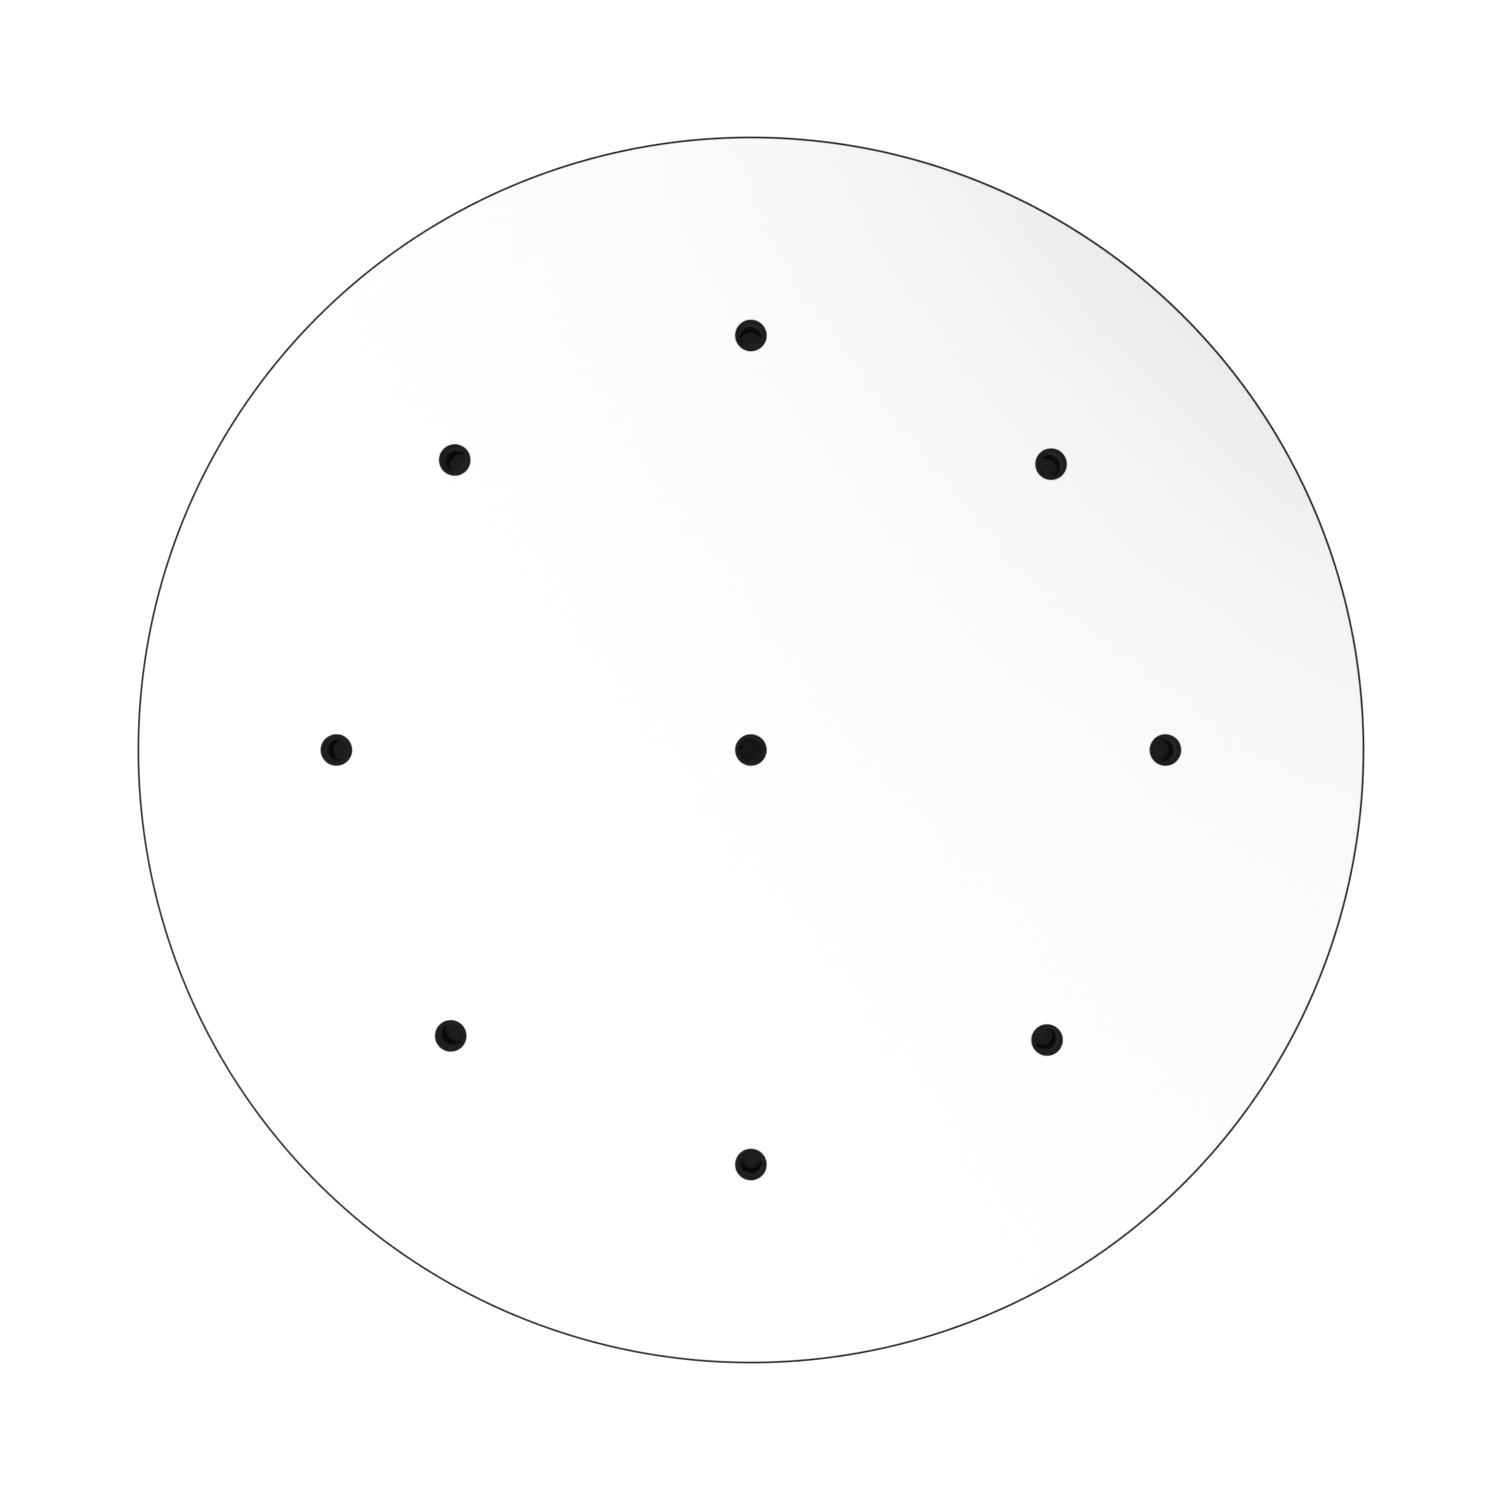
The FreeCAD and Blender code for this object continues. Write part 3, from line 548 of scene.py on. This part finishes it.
def terminal_brass():
    """Milled brass with drawing lines along X and a trace of tarnish."""
    paint = Paint("terminal_brass", (0.75, 0.56, 0.25), 0.32, 1.0)
    paint.tint(paint.noise(3 * MM, 4.0), (0.68, 0.48, 0.19), (0.80, 0.63, 0.32))
    paint.rough(paint.noise(0.5 * MM, 2.0, (0.08, 1, 1)), 0.24, 0.42)
    paint.bump(paint.noise(0.25 * MM, 2.0, (0.05, 1, 1)), 0.004 * MM)
    return paint


def link_copper():
    """Stamped copper strip."""
    paint = Paint("link_copper", (0.80, 0.42, 0.27), 0.3, 1.0)
    paint.tint(paint.noise(2 * MM), (0.72, 0.35, 0.21), (0.84, 0.50, 0.36))
    paint.rough(paint.noise(0.6 * MM), 0.24, 0.4)
    return paint


def sleeve(name, dark, light):
    """Glossy PVC sleeve, with a slight streak along it."""
    paint = Paint(name, light, 0.28)
    paint.tint(paint.noise(2 * MM, 3.0, (0.15, 1, 1)), dark, light)
    paint.rough(paint.noise(1 * MM), 0.24, 0.36)
    paint.bump(paint.noise(0.5 * MM), 0.004 * MM)
    return paint


def magnet_nickel():
    """Nickel plating on a ground surface."""
    paint = Paint("magnet_nickel", (0.70, 0.68, 0.63), 0.18, 1.0)
    paint.tint(paint.noise(4 * MM), (0.67, 0.65, 0.60), (0.74, 0.72, 0.68))
    paint.rough(paint.noise(0.5 * MM), 0.12, 0.24)
    return paint


def pad_foam():
    """Grey acrylic foam tape with open cells on its cut edge."""
    paint = Paint("pad_foam", (0.20, 0.20, 0.20), 0.85, Specular_IOR_Level=0.3)
    paint.tint(paint.noise(0.6 * MM), (0.15, 0.15, 0.15), (0.25, 0.25, 0.25))
    paint.bump(paint.cells(0.25 * MM), 0.03 * MM)
    return paint


# Each material has the name of the function that makes it
MAKERS = (cover_lacquer, cover_primer, cover_core, gland_nylon, housing_paint, zinc_plate, stud_copper,
          rivet_aluminium, grommet_rubber, terminal_nylon, terminal_brass, link_copper, magnet_nickel,
          pad_foam)
paints = {maker.__name__: maker().material for maker in MAKERS}
paints["live_sleeve"] = sleeve("live_sleeve", (0.19, 0.075, 0.032), (0.26, 0.11, 0.05)).material
paints["neutral_sleeve"] = sleeve("neutral_sleeve", (0.02, 0.12, 0.40), (0.035, 0.17, 0.52)).material

for subpart in frame["record"]["subparts"]:
    node = frame["nodes"][subpart["node"]]
    node.data.materials.clear()
    node.data.materials.append(paints[subpart["material_slot"]])


# ---------------------------------------------------------------- cover

def cover_panel():
    """The sandwich panel's three layers."""
    skin_radius, core_radius = skin_high.x - EDGE_ALLOWANCE, min(-core_low.x, core_high.x)
    skin_edge, core_edge = 0.08 * MM, 0.22 * MM
    front = panel("front_skin", skin_radius, skin_low.z, skin_high.z, skin_edge)
    core = panel("panel_core", core_radius, core_low.z, core_high.z, core_edge)
    rear = panel("rear_skin", skin_radius, primer_low.z, primer_high.z, skin_edge)
    placed("front_skin", front, "cover", "cover_lacquer", "cover_front_skin")
    placed("panel_core", core, "cover", "cover_core", "cover_core")
    placed("rear_skin", rear, "cover", "cover_primer", "cover_back_skin")


def gland_mesh():
    """A cord gland: fluted body, flange, flush collar with an eased mouth, and the clamp screw's boss."""
    # Heights and radii are in millimetres. The flange lies against the panel's back.
    low, face, back = gland_low.z / MM, gland_high.z / MM, primer_low.z / MM
    bore, outside, flange, collar = 3.7, 7.0, 9.0, OUTLET_HOLE / MM
    seat, shoulder = back - 2.0, 1.2
    corners = [(bore, low), (outside, low), (outside, seat - shoulder), (outside + shoulder, seat),
               (flange, seat), (flange, back), (collar, back), (collar, face), (bore, face)]
    body = turned(scaled(rounded(corners, [0.8, 0.8, 0.3, 0.1, 0.4, 0.2, 0.1, 0.15, 0.8], 5)), "gland")

    flutes, flute, start, end = 24, 0.45, low - 1, seat - 3.5
    groove = turned(scaled([(0, start), (flute, start), (flute, end), (0, end + 0.5)]), "flute", 16)
    circle, step = (outside + 0.15) * MM, 360 / flutes
    body = carved(body, copies(groove, [Matrix.Translation(polar(circle, step * (k + 0.5)))
                                        for k in range(flutes)]))

    # The boss and the hole for its screw are made upright from the gland's axis, and then laid on their side
    radius, root, end = 4.0, 4.6, 9.5
    corners = [(0, root), (radius, root), (radius, end), (0, end)]
    boss = turned(scaled(rounded(corners, [0, 0.1, 0.5, 0])), "boss", 64)
    hole, start, lead, past = M4.thread / MM, 2.0, 0.4, 12
    mouth = end - 0.3
    drill = turned(scaled([(0, start), (hole, start), (hole, mouth), (hole + lead, mouth + lead),
                           (hole + lead, past), (0, past)]), "drill", 48)
    sideways = Matrix.Translation((0, 0, GLAND_SCREW_Z)) @ Matrix.Rotation(math.pi / 2, 4, "Y")
    body = carved(body, copies(boss, [sideways]), "UNION")
    return carved(body, copies(drill, [sideways]))


def outlet_glands():
    """The nine glands, each turned so that its screw faces the middle."""
    mesh = gland_mesh()
    for number, (node, at) in enumerate(outlets.items()):
        name = f"cord_gland_{number}" if number else "cord_gland_centre"
        turn = Matrix.Translation(at) @ Matrix.Rotation(gland_turn(at), 4, "Z")
        placed(name, copies(mesh, [turn], name), "cover", "gland_nylon", node)


def gland_screws():
    """The clamp screws of the glands, threaded, with slotted heads."""
    shank, head, height, slot = 6.6 * MM, 3.5 * MM, 2.4 * MM, 0.8 * MM
    screw = carved(slotted(head, shank, height, slot),
                   threaded(M4.thread - THREAD_PLAY, 0, shank + 0.4 * MM, M4.pitch), "UNION")
    tip = Matrix.Translation((4.0 * MM, 0, GLAND_SCREW_Z)) @ Matrix.Rotation(math.pi / 2, 4, "Y")
    twist = 0.7
    places = [Matrix.Translation(at) @ Matrix.Rotation(gland_turn(at), 4, "Z") @ tip
              @ Matrix.Rotation(twist * number, 4, "Z") for number, at in enumerate(outlets.values())]
    placed("gland_screws", copies(screw, places), "cover", "zinc_plate", "gland_clamp_screws")


cover_panel()
outlet_glands()
gland_screws()


# ---------------------------------------------------------------- housing

def rivet_outline():
    """The rivet's outline in millimetres: flush head below, shank, and its set end on the plate."""
    head, shank, sink, top = 3.0, 1.6, 1.1, FLOOR / MM
    collar, crown, dimple = 2.5, top + 1.8, top + 1.2
    return [(0, 0), (head, 0), (shank, sink), (shank, top), (collar, top), (collar - 0.15, crown - 0.5),
            (1.2, crown), (0.9, dimple), (0, dimple)]


rivet_places = [Matrix.Translation(polar(RIVET_CIRCLE, 360 / RIVETS * k)) for k in range(RIVETS)]


def rivet_holes():
    """What the rivets take out of the ring and the plate, run a little past both faces."""
    head, shank, sink, below, above = 3.25, 1.6, 1.1, -0.2, 6
    cone = [(0, below), (head, below), (shank, sink), (shank, above), (0, above)]
    return copies(turned(scaled(cone), "hole", 48), rivet_places)


def housing_ring():
    """The rolled ring: ceiling flange, wall and lip, with bent corners."""
    out, high, sheet = ring_high.x / MM, ring_high.z / MM, SHEET / MM
    flange, lip, bend = out - 17, out - 8, 3.0
    corners = [(flange, 0), (out, 0), (out, high), (lip, high), (lip, high - sheet),
               (out - sheet, high - sheet), (out - sheet, sheet), (flange, sheet)]
    eases = [0.15, bend, bend, 0.3, 0.3, bend - sheet, bend - sheet, 0.15]
    outline = scaled(rounded(corners, eases, 8))
    ring = carved(turned(outline, "ring", ROUND, LARGE_CREASE), rivet_holes(), crease=LARGE_CREASE)
    placed("housing_ring", ring, "base", "housing_paint",
           "side_ring_flange", "side_ring_wall", "side_ring_lip")


def housing_plate():
    """The back plate, with its rolled grooves and its holes."""
    low, high, out, hole = plate_low.z / MM, plate_high.z / MM, plate_high.x / MM, 13
    half_top, half_bottom, bottom = 1.5, 1.0, high - 0.4
    corners = [(hole, low), (out, low), (out, high)]
    for groove in (127.0, 90.0):
        corners += [(groove + half_top, high), (groove + half_bottom, bottom),
                    (groove - half_bottom, bottom), (groove - half_top, high)]
    corners += [(hole, high)]
    plate = turned(scaled(rounded(corners, 0.3)), "plate", ROUND, LARGE_CREASE)
    below, above = -MM, 6 * MM
    drill = turned([(0, below), (FIXING_HOLE, below), (FIXING_HOLE, above), (0, above)], "drill", 64)
    fixings = copies(drill, [Matrix.Translation(polar(FIXING_CIRCLE, angle)) for angle in FIXING_ANGLES])
    plate = carved(carved(plate, fixings, crease=LARGE_CREASE), rivet_holes(), crease=LARGE_CREASE)
    placed("housing_plate", plate, "base", "housing_paint", "back_plate")


def rivets():
    """The eight rivets, set."""
    eases = [0, 0.05, 0.05, 0.05, 0.2, 0.4, 0.3, 0.2, 0]
    rivet = turned(scaled(rounded(rivet_outline(), eases)), "rivet", 48)
    placed("rivets", copies(rivet, rivet_places), "base", "rivet_aluminium", "ring_rivets")


def grommet():
    """The supply cable's rubber grommet, gripping the plate's edge."""
    low, high, below, above = (z / MM for z in (grommet_low.z, grommet_high.z, plate_low.z, plate_high.z))
    bore, neck, lip = 7.0, 13.0, 17.0
    corners = [(bore, low), (lip, low), (lip, below), (neck, below), (neck, above), (lip, above),
               (lip, above + 1.2), (lip - 1.6, high), (bore, high)]
    outline = scaled(rounded(corners, [0.8, 0.4, 0.2, 0.1, 0.1, 0.3, 0.5, 0.8, 0.9], 5))
    placed("cable_grommet", turned(outline, "grommet"), "base", "grommet_rubber", "entry_grommet")


housing_ring()
housing_plate()
rivets()
grommet()


# ---------------------------------------------------------------- magnets

def spot(x, y, degrees=0.0):
    """The place at that point of the floor, turned on the spot."""
    return Matrix.Translation((x, y, 0)) @ Matrix.Rotation(math.radians(degrees), 4, "Z")


def at_angle(angle, radius, side=0.0):
    """The place at that radius, offset to its side, and turned about the middle of the housing."""
    return Matrix.Rotation(math.radians(angle), 4, "Z") @ Matrix.Translation((radius, side, 0))


# The next five take heights in millimetres: the bracket's shelf below the magnet, and the magnet's face

def pot_mesh(shelf, face):
    """The magnet's steel pot, with a hole for its screw."""
    outside, inside, hole, bottom = 10, 8.4, 2.1, shelf + 2
    corners = [(hole, shelf), (outside, shelf), (outside, face), (inside, face), (inside, bottom),
               (hole, bottom)]
    return turned(scaled(rounded(corners, [0.2, 0.8, 0.25, 0.15, 0.3, 0.2], 4)), "pot", MAGNET_ROUND)


def ring_magnet_mesh(shelf, face):
    """The ring magnet in its pot, a hair below the pot's rim and countersunk for its screw."""
    outside, sink, hole, bottom, top = 7.9, 4.6, 2.4, shelf + 2, face - 0.1
    corners = [(hole, bottom), (outside, bottom), (outside, top), (sink, top), (hole, face - 2.3)]
    return turned(scaled(rounded(corners, [0.2, 0.3, 0.35, 0.15, 0.2], 4)), "ring", MAGNET_ROUND)


def keeper_mesh(face):
    """The dished keeper, with a skirt that goes round the pot and centres the cover."""
    seat, skirt, brim, low, high = 10.5, 12, 15, keeper_low.z / MM, keeper_high.z / MM
    corners = [(0, face), (seat, face), (seat, low), (skirt, low), (skirt, face), (brim, face), (brim, high),
               (0, high)]
    return turned(scaled(rounded(corners, [0, 0.3, 0.3, 0.4, 0.5, 0.45, 0.2, 0], 4)), "keeper", MAGNET_ROUND)


def pad_mesh():
    """The round foam pad on a keeper."""
    radius, low = 14.5, keeper_high.z / MM
    high = low + 0.5
    corners = [(0, low), (radius, low), (radius, high), (0, high)]
    return turned(scaled(rounded(corners, [0, 0.06, 0.06, 0])), "pad", MAGNET_ROUND)


def magnet_screw(shelf, face):
    """A countersunk slotted screw from its face down through the shelf."""
    neck, cone, head, land = 1.7, 2.0, 3.9, 0.2
    corners = [(0, face - 3.0), (neck, face - 3.0), (cone, face - 2.1), (head, face - land), (head, face),
               (0, face)]
    top = turned(scaled(rounded(corners, [0, 0, 0.1, 0.1, 0.08, 0])), "head", 96)
    long, half, depth = 6, 0.45, 0.9
    slot = prism(scaled([(-long, -half), (long, -half), (long, half), (-long, half)]),
                 (face - depth) * MM, (face + 1) * MM)
    shank = threaded(M4.thread - THREAD_PLAY, (shelf - 6.2) * MM, (face - 2.6) * MM, M4.pitch)
    return carved(carved(top, finished(slot, "slot")), shank, "UNION")


def magnets():
    """Each magnet in its steel pot, and the keeper over it on its foam pad."""
    shelf, face = cup_low.z / MM, cup_high.z / MM
    pot, ring = pot_mesh(shelf, face), ring_magnet_mesh(shelf, face)
    keeper, pad = keeper_mesh(face), pad_mesh()
    places = [at_angle(angle, MAGNET_CIRCLE) for angle in MAGNET_ANGLES]
    for number, place in enumerate(places, 1):
        placed(f"pot_{number}", copies(pot, [place]), "base", "magnet_nickel", f"magnet_cup_{number}")
        placed(f"magnet_{number}", copies(ring, [place]), "base", "magnet_nickel", f"magnet_ring_{number}")
        placed(f"keeper_plate_{number}", copies(keeper, [place]), "cover", "zinc_plate", f"keeper_{number}")
        placed(f"foam_pad_{number}", copies(pad, [place]), "cover", "pad_foam", f"keeper_pad_{number}")
        softened(f"magnet_bracket_{number}", 0.15 * MM)
    screw, nut = magnet_screw(shelf, face - 0.4), hex_nut(M4, cup_low.z - SHEET - M4.nut)
    placed("magnet_bolts", copies(screw, places), "base", "zinc_plate", "magnet_screws")
    placed("magnet_bolt_nuts", copies(nut, places), "base", "zinc_plate", "magnet_nuts")


def stud(size, height):
    """A weld stud of that metric size, standing on the housing's floor."""
    return threaded(size.thread - THREAD_PLAY, FLOOR, FLOOR + height, size.pitch)


def bracket_fixings():
    """Two studs and two nuts for each magnet's bracket."""
    places = [at_angle(angle, BRACKET_STUDS_RADIUS, side)
              for angle in MAGNET_ANGLES for side in BRACKET_STUDS]
    rod, nut = stud(M3, 4.8 * MM), hex_nut(M3, FLOOR + SHEET)
    placed("bracket_weld_studs", copies(rod, places), "base", "stud_copper", "bracket_studs")
    placed("bracket_hex_nuts", copies(nut, places), "base", "zinc_plate", "bracket_nuts")


magnets()
bracket_fixings()


# ---------------------------------------------------------------- terminals

def strip_fixings():
    """The two studs and nuts that hold the terminal strip."""
    places = [spot(x, STRIP_Y) for x in STRIP_STUDS]
    rod, nut = stud(M3, STRIP_WALL + 3.4 * MM), hex_nut(M3, FLOOR + STRIP_WALL)
    placed("strip_weld_studs", copies(rod, places), "base", "stud_copper", "terminal_studs")
    placed("strip_hex_nuts", copies(nut, places), "base", "zinc_plate", "terminal_nuts")


def in_a_row(count, pitch, number):
    """Where a row's item of that number stands along X."""
    return (number - (count - 1) / 2) * pitch


def clamp_screws():
    """The strip's twenty slotted clamp screws, each left at its own turn."""
    head, radius, height, slot = CLAMP_LOW + 4.6 * MM, 1.9 * MM, 1.8 * MM, 0.6 * MM
    thread, pitch = 1.25 * MM, 0.5 * MM
    screw = carved(slotted(radius, head, height, slot),
                   threaded(thread, CLAMP_LOW, head + 0.3 * MM, pitch, 32), "UNION")
    places = [spot(in_a_row(POLES, POLE_PITCH, k), STRIP_Y + side * CLAMP_Y, 35 * k + 20 * side)
              for k in range(POLES) for side in (-1, 1)]
    placed("strip_screws", copies(screw, places), "base", "zinc_plate", "terminal_clamp_screws")


def earth_fixings():
    """The earth bar's two studs, nuts and spacers."""
    places = [spot(x, EARTH_Y) for x in EARTH_STUDS]
    washer, inside, outside = 0.8 * MM, 2.15 * MM, 3.5 * MM
    rod, nut = stud(M4, bar_high.z - FLOOR + 5.6 * MM), hex_nut(M4, bar_high.z + washer)
    spacer = turned(rounded([(inside, FLOOR), (outside, FLOOR), (outside, bar_low.z), (inside, bar_low.z)],
                            0.25 * MM), "spacer", 96)
    placed("earth_weld_studs", copies(rod, places), "base", "stud_copper", "earth_bar_studs")
    placed("earth_hex_nuts", copies(nut, places), "base", "zinc_plate", "earth_bar_nuts")
    placed("earth_spacers", copies(spacer, places), "base", "zinc_plate", "earth_bar_spacers")


def earth_screws():
    """The earth bar's seven slotted screws, each left at its own turn."""
    head, radius, height, slot = bar_high.z + 0.6 * MM, 2.9 * MM, 2.2 * MM, 0.8 * MM
    thread, pitch = 1.7 * MM, 0.7 * MM
    screw = carved(slotted(radius, head, height, slot),
                   threaded(thread, bar_high.z - 2.4 * MM, head + 0.3 * MM, pitch), "UNION")
    places = [spot(in_a_row(EARTH_WAYS, EARTH_PITCH, k), EARTH_Y, 27 * k + 10) for k in range(EARTH_WAYS)]
    placed("earth_screws", copies(screw, places), "base", "zinc_plate", "earth_bar_screws")


strip_fixings()
clamp_screws()
earth_fixings()
earth_screws()
# How far each CAD piece's edges are rounded, in millimetres
EDGES = {"terminal_strip": 0.2, "terminal_tubes": 0.08, "live_link": 0.1, "neutral_link": 0.1,
         "live_link_sleeve": 0.12, "neutral_link_sleeve": 0.12, "earth_bar": 0.15, "earth_bar_washers": 0.08}
for part, width in EDGES.items():
    softened(part, width * MM)


# ---------------------------------------------------------------- stage

def floor():
    """A pale floor with a wall at its far edge, lit from within as a light table is.

    The glow sets in under the housing's wall and is full at the cover's edge, which paints a shadow on the
    floor under the object."""
    radius, wall, drop = 6.0, 1.35, 0.4 * MM
    painted_shadow_to, bright_from, glow = 0.165, 0.2, 0.85
    bm = bmesh.new()
    bmesh.ops.create_circle(bm, cap_ends=True, segments=64, radius=radius)
    raised = bmesh.ops.extrude_edge_only(bm, edges=bm.edges[:])["geom"]
    bmesh.ops.translate(bm, vec=(0, 0, wall), verts=[v for v in raised if isinstance(v, bmesh.types.BMVert)])
    mesh = bpy.data.meshes.new("floor")
    bm.to_mesh(mesh)
    bm.free()
    surface = bpy.data.objects.new("floor", mesh)
    surface.location.z = -drop
    bpy.context.scene.collection.objects.link(surface)
    paint = Paint("floor", (0.86, 0.86, 0.86), 0.9, Specular_IOR_Level=0.1, Emission_Color=(1, 1, 1, 1))
    distance = paint.tree.nodes.new("ShaderNodeVectorMath")
    distance.operation = "LENGTH"
    paint.join(paint.space, distance.inputs[0])
    # Painted shadow: the glow is cut out round the object's middle so the floor under it stays dark; its
    # colour goes from pale there to grey where it glows.
    outside_painted_shadow = paint.band(distance.outputs["Value"], painted_shadow_to, bright_from)
    paint.tint(outside_painted_shadow, (0.86, 0.86, 0.86), (0.3, 0.3, 0.3))
    paint.join(paint.band(outside_painted_shadow, 0.0, 1.0, 0.0, glow), paint.shader.inputs["Emission Strength"])
    mesh.materials.append(paint.material)


def dark_card():
    """A black card that stands upright beside the cover and shades it. The camera doesn't see it."""
    width, height, angle, away, up = 0.32, 0.11, 45, 0.285, 0.10
    bm = bmesh.new()
    bmesh.ops.create_grid(bm, x_segments=1, y_segments=1, size=0.5)
    bmesh.ops.scale(bm, vec=(width, height, 1), verts=bm.verts)
    mesh = bpy.data.meshes.new("dark_card")
    bm.to_mesh(mesh)
    bm.free()
    card = bpy.data.objects.new("dark_card", mesh)
    card.location = polar(away, angle, up)
    card.rotation_euler = (math.radians(90), 0, math.radians(angle + 90))
    card.visible_camera = False
    bpy.context.scene.collection.objects.link(card)
    mesh.materials.append(Paint("dark_card", (0.01, 0.01, 0.01), 0.9).material)


def key_light():
    """A large soft light from the front left, turned to the middle. The camera doesn't see it."""
    place = Vector((-0.8, -0.5, 1.3))
    light = bpy.data.lights.new("key", "AREA")
    light.size = 0.9
    light.energy = 6.0
    lamp = bpy.data.objects.new("key", light)
    lamp.location = place
    lamp.rotation_euler = (-place).to_track_quat("-Z", "Y").to_euler()
    lamp.visible_camera = False
    bpy.context.scene.collection.objects.link(lamp)


def sky():
    """A soft white dome, a little darker towards the horizon."""
    horizon, top, top_from = 0.78, 0.99, 0.7
    world = bpy.data.worlds.new("sky")
    bpy.context.scene.world = world
    world.use_nodes = True
    tree = world.node_tree
    background = tree.nodes["Background"]
    place = tree.nodes.new("ShaderNodeTexCoord")
    split = tree.nodes.new("ShaderNodeSeparateXYZ")
    shade = tree.nodes.new("ShaderNodeMapRange")
    shade.inputs["From Min"].default_value = 0.0
    shade.inputs["From Max"].default_value = top_from
    shade.inputs["To Min"].default_value = horizon
    shade.inputs["To Max"].default_value = top
    tree.links.new(place.outputs["Generated"], split.inputs["Vector"])
    tree.links.new(split.outputs["Z"], shade.inputs["Value"])
    tree.links.new(shade.outputs["Result"], background.inputs["Strength"])
    background.inputs["Color"].default_value = (1, 1, 1, 1)


def camera():
    """Straight above the face, a hair to one side of its middle. About 489 mm of its plane fill the frame."""
    lens, sensor, across, aside = 85.0, 36.0, 0.4885, -0.3 * MM
    data = bpy.data.cameras.new("camera")
    data.lens = lens
    data.sensor_width = sensor
    eye = bpy.data.objects.new("camera", data)
    eye.location = (aside, 0, skin_high.z + across * lens / sensor)
    bpy.context.scene.collection.objects.link(eye)
    bpy.context.scene.camera = eye


floor()
dark_card()
key_light()
sky()
camera()
bpy.context.scene.view_settings.view_transform = "Standard"
